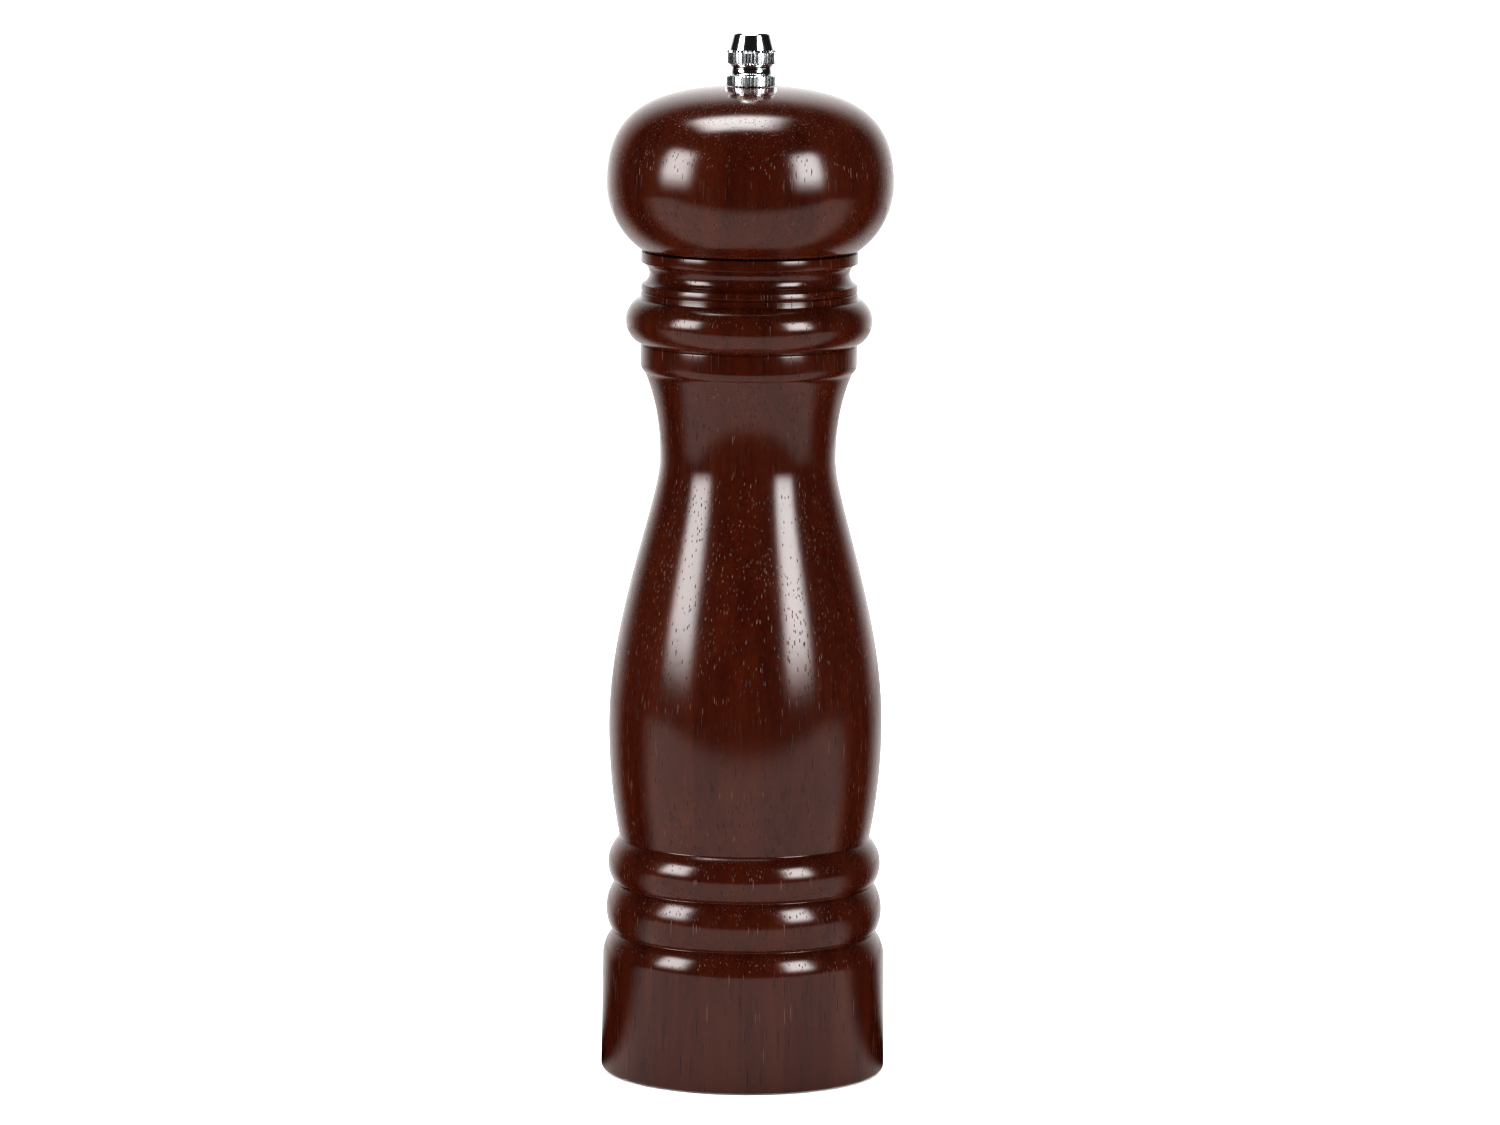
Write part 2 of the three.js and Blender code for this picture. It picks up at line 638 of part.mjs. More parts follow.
function retainingScrews() {
  const length = PLATE_SCREW_GRIP + SHEET;
  return screwAngles().map((angle, i) => {
    const screw = piece(`retaining_screw_${i + 1}`, screwGeometry(length), zincSteel);
    const x = plateScrewRadius * Math.cos(angle);
    const y = plateScrewRadius * Math.sin(angle);
    return placed(screw, x, y, plateFoot - REST_GAP);
  });
}

function drivePlateScrews() {
  const length = DRIVE_SCREW_GRIP + SHEET;
  return [-1, 1].map((side, i) => {
    const screw = piece(`drive_plate_screw_${i + 1}`, screwGeometry(length), zincSteel);
    return placed(screw, side * driveScrewRadius, 0, drivePlateFoot - REST_GAP);
  });
}

// What stays still on the table.
function standingPieces() {
  return groupOf(
    piece("body", bodyGeometry(), lacqueredWood),
    piece("outer_burr", outerBurrGeometry(), burrSteel),
    piece("bridge", bridgeGeometry(), zincSteel),
    piece("retaining_plate", retainingPlateGeometry(), zincSteel),
    ...retainingScrews(),
  );
}

// What turns with the head.
function headPieces() {
  return groupOf(
    piece("head", headGeometry(), lacqueredWood),
    piece("drive_plate", drivePlateGeometry(), zincSteel),
    ...drivePlateScrews(),
    piece("top_nut", nutGeometry(), chrome),
  );
}

// What the nut draws up and the spring pushes down.
function spindlePieces() {
  return groupOf(
    piece("shaft", shaftGeometry(), zincSteel),
    piece("inner_burr", innerBurrGeometry(), burrSteel),
    piece("burr_washer", washer(TAIL_RADIUS + SHAFT_CLEARANCE, TAIL_RADIUS + WASHER_RIM, washerFoot,
      WASHER_THICKNESS), zincSteel),
    piece("retaining_clip", clipGeometry(), springSteel),
    piece("spring", springGeometry(), springSteel),
    piece("thrust_washer", washer(shaftHole, thrustWasherRadius, thrustWasherFoot,
      THRUST_WASHER_THICKNESS), zincSteel),
  );
}

const mill = groupOf(standingPieces(), headPieces(), spindlePieces());

export default mill;
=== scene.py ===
"""The looks of a turned wooden pepper mill: lacquered wood, a knurled nut and the works inside."""

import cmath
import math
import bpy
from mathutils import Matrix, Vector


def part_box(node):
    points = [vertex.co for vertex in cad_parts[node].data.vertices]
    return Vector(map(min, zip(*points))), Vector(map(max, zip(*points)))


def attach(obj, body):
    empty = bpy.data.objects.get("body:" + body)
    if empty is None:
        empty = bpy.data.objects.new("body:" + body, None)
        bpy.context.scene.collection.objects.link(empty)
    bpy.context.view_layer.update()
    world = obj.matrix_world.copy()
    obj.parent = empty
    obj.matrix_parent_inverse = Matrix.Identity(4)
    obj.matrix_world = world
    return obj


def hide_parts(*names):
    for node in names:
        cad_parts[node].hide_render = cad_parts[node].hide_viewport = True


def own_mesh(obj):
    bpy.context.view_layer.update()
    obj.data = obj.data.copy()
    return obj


bl_info = {
    "name": "Turned pepper mill",
    "version": (1, 0, 0),
    "blender": (4, 5, 0),
    "location": "3D View > Sidebar > Pepper mill",
    "description": "Builds the wood, the knurled nut and the grinding works of a pepper mill",
    "category": "Object",
}

import bmesh
import bpy
from bpy.props import FloatProperty, FloatVectorProperty, IntProperty, PointerProperty
from mathutils import Matrix, Vector
from mathutils.geometry import interpolate_bezier

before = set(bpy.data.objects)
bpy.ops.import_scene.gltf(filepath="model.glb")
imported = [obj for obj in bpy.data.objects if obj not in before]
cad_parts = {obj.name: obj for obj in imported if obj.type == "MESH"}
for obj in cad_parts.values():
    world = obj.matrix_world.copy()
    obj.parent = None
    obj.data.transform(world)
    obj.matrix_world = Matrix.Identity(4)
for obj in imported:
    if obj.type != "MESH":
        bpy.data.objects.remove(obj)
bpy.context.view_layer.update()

# Shapes are drawn in millimetres and brought to metres when a piece is finished.
MM = 0.001
FULL_TURN = 2 * math.pi
Z_AXIS = (0, 0, 1)

# ---- Heights and radii that the frame gives, in millimetres ----


def low(node, axis=2):
    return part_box(node)[0][axis] / MM


def high(node, axis=2):
    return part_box(node)[1][axis] / MM


BODY_TOP = high("body")
HEAD_TOP = high("head")
SPIGOT_FOOT = low("head")
HEAD_RADIUS = high("head", 0)
BASE_RADIUS = high("body", 0)
NUT_SEAT = low("top_nut")
NUT_TOP = high("top_nut")
NUT_RADIUS = high("top_nut", 0)
SHAFT_FOOT = low("shaft")
SHAFT_TOP = high("shaft")
CONE_FOOT = low("inner_burr")
CONE_TOP = high("inner_burr")
BURR_FOOT = low("outer_burr")
BURR_TOP = high("outer_burr")
BURR_RADIUS = high("outer_burr", 0)
PLATE_FOOT = low("retaining_plate")
PLATE_TOP = high("retaining_plate")
PLATE_RADIUS = high("retaining_plate", 0)
BRIDGE_FOOT = low("bridge")
BRIDGE_TOP = high("bridge")
BRIDGE_TOE = high("bridge", 0)
BRIDGE_HALF_WIDTH = high("bridge", 1)
DRIVE_FOOT = low("drive_plate")
DRIVE_TOP = high("drive_plate")
DRIVE_RADIUS = high("drive_plate", 0)
SPRING_FOOT = low("spring")
SPRING_TOP = high("spring")

# ---- Heights and radii inside the wood, and of the works in it, in millimetres ----
BORE_RADIUS = 13.5
POCKET_RADIUS = 19
POCKET_TOP = 25.6
RECESS_RADIUS = 24
RECESS_TOP = 10
SPIGOT_RADIUS = 13.1
HEAD_SEAT = 170.2
SHAFT_HOLE = 3.84
SHAFT_SIDE = 5
THREADED_LENGTH = 14
SQUARE_HOLE = 5.6
PLATE_HOLE = 14.5
BURR_WASHER_HOLE = 2.7
SCREW_HOLE = 1.6
PLATE_SCREW_TOP = 16.7
DRIVE_SCREW_TOP = DRIVE_FOOT + 9.3
SHEET = 1
PLATE_SCREW_RADIUS = 21.5
DRIVE_SCREW_RADIUS = 7.35
PLATE_SCREW_ANGLES = (90, 210, 330)
BORES = ((BORE_RADIUS, BODY_TOP - 0.3), (POCKET_RADIUS, POCKET_TOP), (RECESS_RADIUS, RECESS_TOP))

# How far a cutting tool stands past what it cuts, and how near a face is that counts as in a bore.
CUT_PAST = 3
NEAR = 0.05

# ---- How finely the round shapes are cut ----
WOOD_STEPS = 144
METAL_STEPS = 96
SMALL_STEPS = 48
SCREW_STEPS = 24
SHARP_TURN = math.radians(60)


# ---- What a user would change ----


def colour_setting(name, description, default):
    return FloatVectorProperty(
        name=name, description=description, subtype="COLOR", default=default, min=0, max=1
    )


def number_setting(name, description, default, lowest, highest, **kind):
    return FloatProperty(
        name=name, description=description, default=default, min=lowest, max=highest, **kind
    )


def length_setting(name, description, default, lowest, highest):
    return number_setting(name, description, default, lowest, highest, unit="LENGTH")


def power_setting(name, description, default):
    return number_setting(name, description, default, 0, 100, subtype="POWER")


class MillWoodSettings(bpy.types.PropertyGroup):
    """Sizes and colours of the turned and lacquered wood."""

    stain: colour_setting(
        "Stain", "Colour of the wood between its pores", (0.0155, 0.0024, 0.0009)
    )
    pale_stain: colour_setting(
        "Pale stain", "Colour of the wood where the grain takes less stain", (0.032, 0.0066, 0.0021)
    )
    pore_stain: colour_setting(
        "Pore stain", "Colour at the bottom of an open pore", (0.0035, 0.0008, 0.0005)
    )
    pore_dust: colour_setting(
        "Pore dust", "Colour of the pores that hold polish or dust", (0.07, 0.03, 0.018)
    )
    bare_wood: colour_setting(
        "Bare wood", "Colour of the unlacquered wood in the bores", (0.2, 0.12, 0.066)
    )
    lacquer_roughness: number_setting(
        "Lacquer roughness",
        "How far the lacquer blurs what it reflects",
        0.155,
        0,
        1,
        subtype="FACTOR",
    )
    edge_round: length_setting(
        "Edge round", "How far sanding and lacquer rounded the turned edges", 0.00018, 0, 0.0005
    )


class MillMetalSettings(bpy.types.PropertyGroup):
    """Sizes and colours of the nut and the works."""

    knurl_ribs: IntProperty(
        name="Knurl ribs",
        description="How many ribs stand round each band of the nut",
        default=40,
        min=12,
        max=60,
    )
    knurl_depth: length_setting(
        "Knurl depth", "How deep the grooves between the ribs of the nut are", 0.00036, 0, 0.0006
    )
    thread_pitch: length_setting(
        "Thread pitch", "Rise of the shaft's thread in one turn", 0.0008, 0.0004, 0.0015
    )
    wire_radius: length_setting(
        "Spring wire radius", "Radius of the spring's wire", 0.00045, 0.0002, 0.0006
    )
    chrome: colour_setting("Chrome", "Colour of the nut's plating", (0.82, 0.84, 0.85))
    zinc: colour_setting(
        "Zinc", "Colour of the plated plates, washers, screws and shaft", (0.6, 0.61, 0.6)
    )
    hardened_steel: colour_setting(
        "Hardened steel", "Colour of the two burrs", (0.2, 0.195, 0.19)
    )
    spring_steel: colour_setting(
        "Spring steel", "Colour of the spring and the clip", (0.36, 0.36, 0.37)
    )


class MillStageSettings(bpy.types.PropertyGroup):
    """Camera and studio light."""

    lens: number_setting(
        "Lens", "Focal length of the camera", 172.5, 20, 400, subtype="DISTANCE_CAMERA"
    )
    camera_distance: length_setting(
        "Camera distance", "Distance from the camera to the point it looks at", 1.48, 0.3, 5
    )
    camera_pitch: number_setting(
        "Camera pitch",
        "How far the camera looks down",
        math.radians(7.7),
        0,
        math.radians(60),
        subtype="ANGLE",
    )
    exposure: number_setting("Exposure", "Stops the picture is brightened by", 0.7, -5, 5)
    strip_power: power_setting("Strip power", "Power of each tall softbox beside the camera", 9.5)
    top_power: power_setting("Top power", "Power of the softbox overhead", 16)
    fill: number_setting("Fill", "Strength of the even light from all round", 0.6, 0, 4)


SETTINGS = {
    "mill_wood": MillWoodSettings,
    "mill_metal": MillMetalSettings,
    "mill_stage": MillStageSettings,
}


# ---- Outlines for the lathe ----


class Outline:
    """Corners of a turned shape: radius, height and how far each is rounded, in millimetres."""

    def __init__(self, radius, height, soft=0.0):
        self.corners = [(radius, height, soft)]

    def to(self, radius, height, soft=0.0):
        self.corners.append((radius, height, soft))
        return self

    def soften(self, soft):
        radius, height, _ = self.corners[-1]
        self.corners[-1] = (radius, height, soft)
        return self

    def arc(self, middle, end, steps):
        """Goes on along the circle through the last corner, middle and end."""
        start = complex(*self.corners[-1][:2])
        middle, end = complex(*middle), complex(*end)
        share = (end - start) / (middle - start)
        centre = start + (middle - start) * (share - abs(share) ** 2) / (2j * share.imag)
        spoke = start - centre
        to_middle = cmath.phase((middle - centre) / spoke) % FULL_TURN
        to_end = cmath.phase((end - centre) / spoke) % FULL_TURN
        sweep = to_end if to_middle < to_end else to_end - FULL_TURN
        for step in range(1, steps + 1):
            place = centre + spoke * cmath.exp(1j * sweep * step / steps)
            self.to(place.real, place.imag)
        return self

    def swell(self, crown_radius, crown_height, steps):
        """Goes on along a round that stands upright when it reaches its crown."""
        radius, height, _ = self.corners[-1]
        kept = len(self.corners) + steps
        self.arc((crown_radius, crown_height), (radius, 2 * crown_height - height), 2 * steps)
        del self.corners[kept:]
        return self

    def fall(self, radius, height, steps):
        """Goes on along a round that starts upright at the last corner, its crown."""
        crown_radius, crown_height, _ = self.corners[-1]
        kept = len(self.corners)
        other = Outline(radius, 2 * crown_height - height)
        other.arc((crown_radius, crown_height), (radius, height), 2 * steps)
        self.corners[kept:] = other.corners[steps + 1 :]
        return self

    def curve(self, first_handle, second_handle, end, steps):
        """Goes on along a long free curve."""
        start = self.corners[-1][:2]
        flat = [Vector((*place, 0)) for place in (start, first_handle, second_handle, end)]
        for place in interpolate_bezier(*flat, steps + 1)[1:]:
            self.to(place.x, place.y)
        return self


def only(kind, geometry):
    """The verts, edges or faces among geometry."""
    return [item for item in geometry if isinstance(item, kind)]


def polar(radius, turn, x=0.0, y=0.0):
    return (x + radius * math.cos(turn), y + radius * math.sin(turn))


def clamped(value):
    return min(1.0, max(0.0, value))


def bevel(bm, geometry, width, segments, affect):
    """Rounds corners or edges."""
    bmesh.ops.bevel(
        bm,
        geom=geometry,
        offset=width,
        offset_type="OFFSET",
        segments=segments,
        profile=0.5,
        affect=affect,
        clamp_overlap=True,
        material=-1,
    )


def lathe(outline, steps, closed=True):
    """Turns an outline about the Z axis into a closed skin."""
    bm = bmesh.new()
    verts = [bm.verts.new((radius, 0, height)) for radius, height, _ in outline.corners]
    following = verts[1:] + verts[:1] if closed else verts[1:]
    for pair in zip(verts, following):
        bm.edges.new(pair)
    by_softness = {}
    for vert, (_, _, soft) in zip(verts, outline.corners):
        if soft > 0:
            by_softness.setdefault(soft, []).append(vert)
    for soft, corners in sorted(by_softness.items()):
        bevel(bm, corners, soft, 3, "VERTICES")
    spin(bm, bm.verts[:] + bm.edges[:], steps)
    merge(bm)
    return bm


def spin(bm, geometry, steps, turns=1.0, rise=0.0, full=True):
    """Spins geometry about the Z axis, with an even rise if it is a coil or a thread."""
    return bmesh.ops.spin(
        bm,
        geom=geometry,
        cent=(0, 0, 0),
        axis=Z_AXIS,
        dvec=(0, 0, rise / steps),
        angle=FULL_TURN * turns,
        steps=steps,
        use_merge=full,
    )


def merge(bm, distance=1e-4):
    bmesh.ops.remove_doubles(bm, verts=bm.verts, dist=distance)
    bmesh.ops.recalc_face_normals(bm, faces=bm.faces)


def soften_edges(bm, width, segments=2):
    """Rounds the sharp edges."""
    joined = [edge for edge in bm.edges if len(edge.link_faces) == 2]
    sharp = [edge for edge in joined if edge.calc_face_angle(0) > SHARP_TURN]
    bevel(bm, sharp, width, segments, "EDGES")


def loop_at(bm, corners, height):
    """A closed loop of edges through flat corners at one height."""
    verts = [bm.verts.new((x, y, height)) for x, y in corners]
    return [bm.edges.new(pair) for pair in zip(verts, verts[1:] + verts[:1])]


def round_corners(radius, steps, x=0.0, y=0.0):
    """Corners round a circle."""
    return [polar(radius, FULL_TURN * step / steps, x, y) for step in range(steps)]


def sheet_from(loops, foot, top):
    """A flat plate between its outer loop and the loops of its holes, as thick as its sheet."""
    bm = bmesh.new()
    edges = []
    for corners in loops:
        edges += loop_at(bm, corners, foot)
    filled = bmesh.ops.triangle_fill(bm, edges=edges, use_beauty=True)["geom"]
    faces = only(bmesh.types.BMFace, filled)
    raised = bmesh.ops.extrude_face_region(bm, geom=faces, use_keep_orig=True)["geom"]
    upper = only(bmesh.types.BMVert, raised)
    bmesh.ops.translate(bm, verts=upper, vec=(0, 0, top - foot))
    flat = math.radians(1)
    bmesh.ops.dissolve_limit(bm, angle_limit=flat, verts=bm.verts, edges=bm.edges)
    bmesh.ops.recalc_face_normals(bm, faces=bm.faces)
    return bm


def cylinder(radius, foot, top, steps=SCREW_STEPS, x=0.0, y=0.0):
    bm = bmesh.new()
    bmesh.ops.create_cone(
        bm,
        cap_ends=True,
        segments=steps,
        radius1=radius,
        radius2=radius,
        depth=top - foot,
        matrix=Matrix.Translation((x, y, (foot + top) / 2)),
    )
    return bm


def cut_off(bm, height, outwards, distance):
    """Clears what is over a height if outwards is 1, or under it if outwards is -1."""
    bmesh.ops.bisect_plane(
        bm,
        geom=bm.verts[:] + bm.edges[:] + bm.faces[:],
        dist=distance,
        plane_co=(0, 0, height),
        plane_no=(0, 0, outwards),
        clear_outer=True,
    )


# ---- Finished pieces ----


def mesh_from(name, bm):
    mesh = bpy.data.meshes.new(name)
    bm.to_mesh(mesh)
    bm.free()
    return mesh


def linked(name, data):
    """A new object that holds data, in the scene."""
    made = bpy.data.objects.new(name, data)
    bpy.context.scene.collection.objects.link(made)
    return made


def finish_piece(bm, part, body, materials, smooth_angle=35):
    """Brings a shape to metres and makes it a piece that rides its body, and hides the node it
    stands for.
    """
    bmesh.ops.scale(bm, vec=(MM, MM, MM), verts=bm.verts)
    name = "fine_" + part
    mesh = mesh_from(name, bm)
    mesh.shade_smooth()
    mesh.set_sharp_from_angle(angle=math.radians(smooth_angle))
    for finish in materials:
        mesh.materials.append(finish)
    piece = linked(name, mesh)
    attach(piece, body)
    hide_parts(part)
    return piece


def combined(bm, others, operation):
    """Joins closed shapes to a closed shape, or takes them off it."""
    stock = linked("scratch", mesh_from("scratch", bm))
    for other in others:
        tool = linked("scratch", mesh_from("scratch", other))
        step = stock.modifiers.new("step", "BOOLEAN")
        step.operation = operation
        step.solver = "EXACT"
        step.object = tool
        graph = bpy.context.evaluated_depsgraph_get()
        mesh = bpy.data.meshes.new_from_object(stock.evaluated_get(graph))
        stock.modifiers.clear()
        stock.data = mesh
        bpy.data.objects.remove(tool)
    result = bmesh.new()
    result.from_mesh(stock.data)
    bpy.data.objects.remove(stock)
    merge(result)
    return result


def mark_bare(bm, is_inside):
    """Gives the second finish to the faces whose middle lies in a region."""
    for face in bm.faces:
        middle = face.calc_center_median()
        if is_inside(math.hypot(middle.x, middle.y), middle.z):
            face.material_index = 1


# ---- Turned wood ----


def body_outline(round_by):
    """Foot, two beads, bulb, neck, collar, torus, two steps, cove and ring, then the bores."""
    outline = Outline(RECESS_RADIUS, 0, 0.3).to(BASE_RADIUS - 1, 0)
    outline.arc((BASE_RADIUS - 0.293, 0.293), (BASE_RADIUS, 1), 6)
    outline.to(29.15, 23.7).fall(27.4, 28.6, 12)
    outline.to(27.1, 28.9, round_by).to(27.4, 29.2)
    outline.arc((28.5, 33.95), (27.0, 38.7), 20)
    outline.to(26.7, 39.0, round_by).to(27.0, 39.3)
    outline.arc((28.15, 43.7), (25.85, 48.4), 20).soften(round_by)
    outline.swell(28.2, 72.2, 20)
    outline.curve((28.2, 94.668), (18.1, 118.78), (18.1, 127), 44)
    outline.curve((18.1, 135.1), (19.284, 139.96), (21.3, 145.0), 22)
    outline.swell(22.3, 147.0, 6)
    outline.to(22.3, 150.5, round_by).to(22.0, 150.8, round_by / 2)
    outline.arc((25.35, 155.5), (22.8, 160.2), 24).soften(round_by / 2)
    outline.to(22.3, 160.2, round_by / 2).to(22.3, 161.4, round_by / 2)
    outline.to(22.0, 161.7).to(22.3, 162.0, round_by / 2).to(22.15, 163.2, round_by)
    outline.arc((20.6, 165.4), (22.0, 167.6), 16).soften(round_by / 2)
    outline.to(22.3, 167.6, round_by).to(22.3, BODY_TOP, round_by)
    outline.to(BORE_RADIUS, BODY_TOP, 0.5).to(BORE_RADIUS, POCKET_TOP, 0.2)
    outline.to(POCKET_RADIUS, POCKET_TOP, 0.2).to(POCKET_RADIUS, RECESS_TOP, 0.3)
    return outline.to(RECESS_RADIUS, RECESS_TOP, 0.3)


def head_outline(round_by):
    """A spigot that stands in the body's bore, and the ball with its flat underside."""
    outline = Outline(SHAFT_HOLE, SPIGOT_FOOT, 0.3)
    outline.to(SPIGOT_RADIUS - 0.8, SPIGOT_FOOT, 0.15).to(SPIGOT_RADIUS, SPIGOT_FOOT + 0.8, 0.3)
    outline.to(SPIGOT_RADIUS, HEAD_SEAT, 0.15).to(22.25, HEAD_SEAT, round_by)
    outline.swell(HEAD_RADIUS, 184.0, 24)
    outline.curve((HEAD_RADIUS, 197.593), (21.4985, 202.715), (5.55, HEAD_TOP), 48)
    return outline.soften(0.3).to(SHAFT_HOLE, HEAD_TOP, 0.3)


def plate_screw_places():
    return [polar(PLATE_SCREW_RADIUS, math.radians(angle)) for angle in PLATE_SCREW_ANGLES]


def drive_screw_places():
    return [(-DRIVE_SCREW_RADIUS, 0.0), (DRIVE_SCREW_RADIUS, 0.0)]


def turned_wood(outline, holes, foot, top):
    """Turns a piece of wood and drills its screw holes."""
    bm = lathe(outline, WOOD_STEPS)
    drills = [cylinder(SCREW_HOLE, foot - CUT_PAST, top, x=x, y=y) for x, y in holes]
    return combined(bm, drills, "DIFFERENCE")


def in_body_bores(radius, height):
    return any(radius < limit + NEAR and height < roof + NEAR for limit, roof in BORES)


def in_head_bore(radius, height):
    on_spigot = radius < SPIGOT_RADIUS + 2 * NEAR and height < HEAD_SEAT - NEAR
    return on_spigot or radius < SHAFT_HOLE + NEAR


class MILL_OT_body(bpy.types.Operator):
    """Turns the body, from its foot up to the ring under the head"""

    bl_idname = "mill.body"
    bl_label = "Body"

    def execute(self, context):
        outline = body_outline(context.scene.mill_wood.edge_round / MM)
        bm = turned_wood(outline, plate_screw_places(), RECESS_TOP, PLATE_SCREW_TOP)
        mark_bare(bm, in_body_bores)
        finish_piece(bm, "body", "mill_body", [lacquered_wood(), bare_wood()])
        return {"FINISHED"}


class MILL_OT_head(bpy.types.Operator):
    """Turns the ball head with the spigot under it"""

    bl_idname = "mill.head"
    bl_label = "Head"

    def execute(self, context):
        outline = head_outline(context.scene.mill_wood.edge_round / MM)
        bm = turned_wood(outline, drive_screw_places(), SPIGOT_FOOT, DRIVE_SCREW_TOP)
        mark_bare(bm, in_head_bore)
        finish_piece(bm, "head", "head_set", [lacquered_wood(), bare_wood()])
        return {"FINISHED"}


# ---- Nut and shaft ----

# The nut's bands, as heights over its seat, and how deep the knurl is at each step round one rib.
LOWER_BAND_TOP = 2.6
UPPER_BAND_FOOT = 4.4
UPPER_BAND_TOP = 7.4
BAND_STEP = 0.2
KNURL_GROOVE = (0.0, 0.0, 0.5, 1.0, 1.0, 0.5)


def nut_outline():
    """A band, a hollow waist, a second band and a coned top, with the tapped bore inside."""
    radius, seat = NUT_RADIUS, NUT_SEAT
    outline = Outline(0, 210.9).to(2.55, 210.3).to(2.8, 209.8).to(2.8, seat + 0.35, 0.1)
    outline.to(3.15, seat).to(radius - 0.16, seat, 0.04).to(radius, seat + 0.16, 0.04)
    outline.to(radius, seat + 1.92, 0.05).to(radius - 0.2, seat + 2.12, 0.05)
    outline.arc((4.36, seat + 2.62), (4.15, seat + 3.3), 8)
    outline.arc((4.26, seat + 3.9), (4.62, seat + 4.35), 8).soften(0.06)
    outline.to(radius - BAND_STEP, seat + 4.72, 0.05).to(radius - BAND_STEP, seat + 6.72, 0.05)
    outline.to(4.68, seat + 7.3, 0.05).to(4.64, seat + 7.45)
    outline.to(3.83, NUT_TOP - 0.3, 0.1).to(3.5, NUT_TOP, 0.1)
    return outline.to(0, NUT_TOP)


class MILL_OT_nut(bpy.types.Operator):
    """Turns the nut and presses the ribs of its two knurled bands"""

    bl_idname = "mill.nut"
    bl_label = "Nut"

    def execute(self, context):
        metal = context.scene.mill_metal
        steps = metal.knurl_ribs * len(KNURL_GROOVE)
        bm = lathe(nut_outline(), steps, closed=False)
        depth = metal.knurl_depth / MM
        for vert in bm.verts:
            height = vert.co.z - NUT_SEAT
            if height < LOWER_BAND_TOP:
                band = NUT_RADIUS
            elif UPPER_BAND_FOOT < height < UPPER_BAND_TOP:
                band = NUT_RADIUS - BAND_STEP
            else:
                continue
            radius = math.hypot(vert.co.x, vert.co.y)
            place = round(math.atan2(vert.co.y, vert.co.x) / FULL_TURN * steps) % len(KNURL_GROOVE)
            limit = band - depth * KNURL_GROOVE[place]
            if radius > limit:
                vert.co.xy *= limit / radius
        finish_piece(bm, "top_nut", "nut", [nut_chrome()], smooth_angle=24)
        return {"FINISHED"}


def thread(major, depth, pitch, foot, top):
    """A threaded rod with flat ends: crests and roots, spun round with the rise of its pitch."""
    bm = bmesh.new()
    crests = math.ceil((top - foot) / pitch) + 2
    flat = pitch / 8
    lowest = foot - pitch * 1.5
    corners = []
    for turn in range(crests):
        height = lowest + turn * pitch
        corners.append((major - depth, height))
        corners.append((major, height + pitch / 2 - flat / 2))
        corners.append((major, height + pitch / 2 + flat / 2))
    corners.append((major - depth, lowest + crests * pitch))
    verts = [bm.verts.new((radius, 0, height)) for radius, height in corners]
    edges = [bm.edges.new(pair) for pair in zip(verts, verts[1:])]
    spin(bm, verts + edges, SMALL_STEPS, rise=pitch, full=False)
    bmesh.ops.remove_doubles(bm, verts=bm.verts, dist=1e-3)
    for height, outwards in ((foot, -1), (top, 1)):
        cut_off(bm, height, outwards, 1e-4)
        rim = [
            edge
            for edge in bm.edges
            if edge.is_boundary and all(abs(vert.co.z - height) < 1e-3 for vert in edge.verts)
        ]
        bmesh.ops.contextual_create(bm, geom=rim)
    merge(bm)
    return bm


def shaft_shapes(pitch):
    """The square bar, and its thread and turned parts, each closed."""
    bar = bmesh.new()
    square_top = SHAFT_TOP - THREADED_LENGTH
    length = square_top - CONE_FOOT
    place = Matrix.Translation((0, 0, CONE_FOOT + length / 2))
    size = Matrix.Diagonal((SHAFT_SIDE, SHAFT_SIDE, length, 1))
    bmesh.ops.create_cube(bar, size=1, matrix=place @ size)
    soften_edges(bar, 0.35, 3)
    tail = Outline(0, SHAFT_FOOT).to(2.4, SHAFT_FOOT, 0.4).to(2.4, 7.9, 0.08).to(1.75, 7.9, 0.08)
    tail.to(1.75, 9.1, 0.08).to(2.4, 9.1, 0.08).to(2.4, CONE_FOOT + 1).to(0, CONE_FOOT + 1)
    neck = Outline(0, square_top - 1).to(2.5, square_top - 1).to(2.5, square_top + 0.4)
    neck.to(2.05, square_top + 1, 0.1).to(2.05, square_top + 2).to(0, square_top + 2)
    rod = thread(2.5, 0.46, pitch, square_top + 0.9, SHAFT_TOP - 0.35)
    point = Outline(0, SHAFT_TOP - 0.5).to(2.06, SHAFT_TOP - 0.5).to(2.06, SHAFT_TOP - 0.32)
    point.to(1.75, SHAFT_TOP).to(0, SHAFT_TOP)
    turned = [lathe(outline, SMALL_STEPS, closed=False) for outline in (tail, neck, point)]
    return bar, [*turned, rod]


class MILL_OT_shaft(bpy.types.Operator):
    """Makes the square shaft with its thread and the groove for the clip"""

    bl_idname = "mill.shaft"
    bl_label = "Shaft"

    def execute(self, context):
        bar, others = shaft_shapes(context.scene.mill_metal.thread_pitch / MM)
        bm = combined(bar, others, "UNION")
        finish_piece(bm, "shaft", "burr_shaft", [plated_steel("Shaft steel", 0.0)])
        return {"FINISHED"}


# ---- Grinding set ----

HALF_HOLE = SQUARE_HOLE / 2
SQUARE = (
    (-HALF_HOLE, -HALF_HOLE),
    (HALF_HOLE, -HALF_HOLE),
    (HALF_HOLE, HALF_HOLE),
    (-HALF_HOLE, HALF_HOLE),
)

# How far each step round a tooth stands out, from its root at 0 to its tip at 1.
SAW_TOOTH = (1.0, 0.72, 0.36, 0.0)
FINE_TEETH = SAW_TOOTH * 2
COARSE_TOOTH = (1.0, 0.88, 0.74, 0.6, 0.45, 0.3, 0.15, 0.0)


def toothed(tip, root, teeth, shape):
    """Corners round a ring of teeth."""
    steps = teeth * len(shape)
    return [
        polar(root + (tip - root) * shape[step % len(shape)], FULL_TURN * step / steps)
        for step in range(steps)
    ]


def verts_of(edges):
    return {vert for edge in edges for vert in edge.verts}


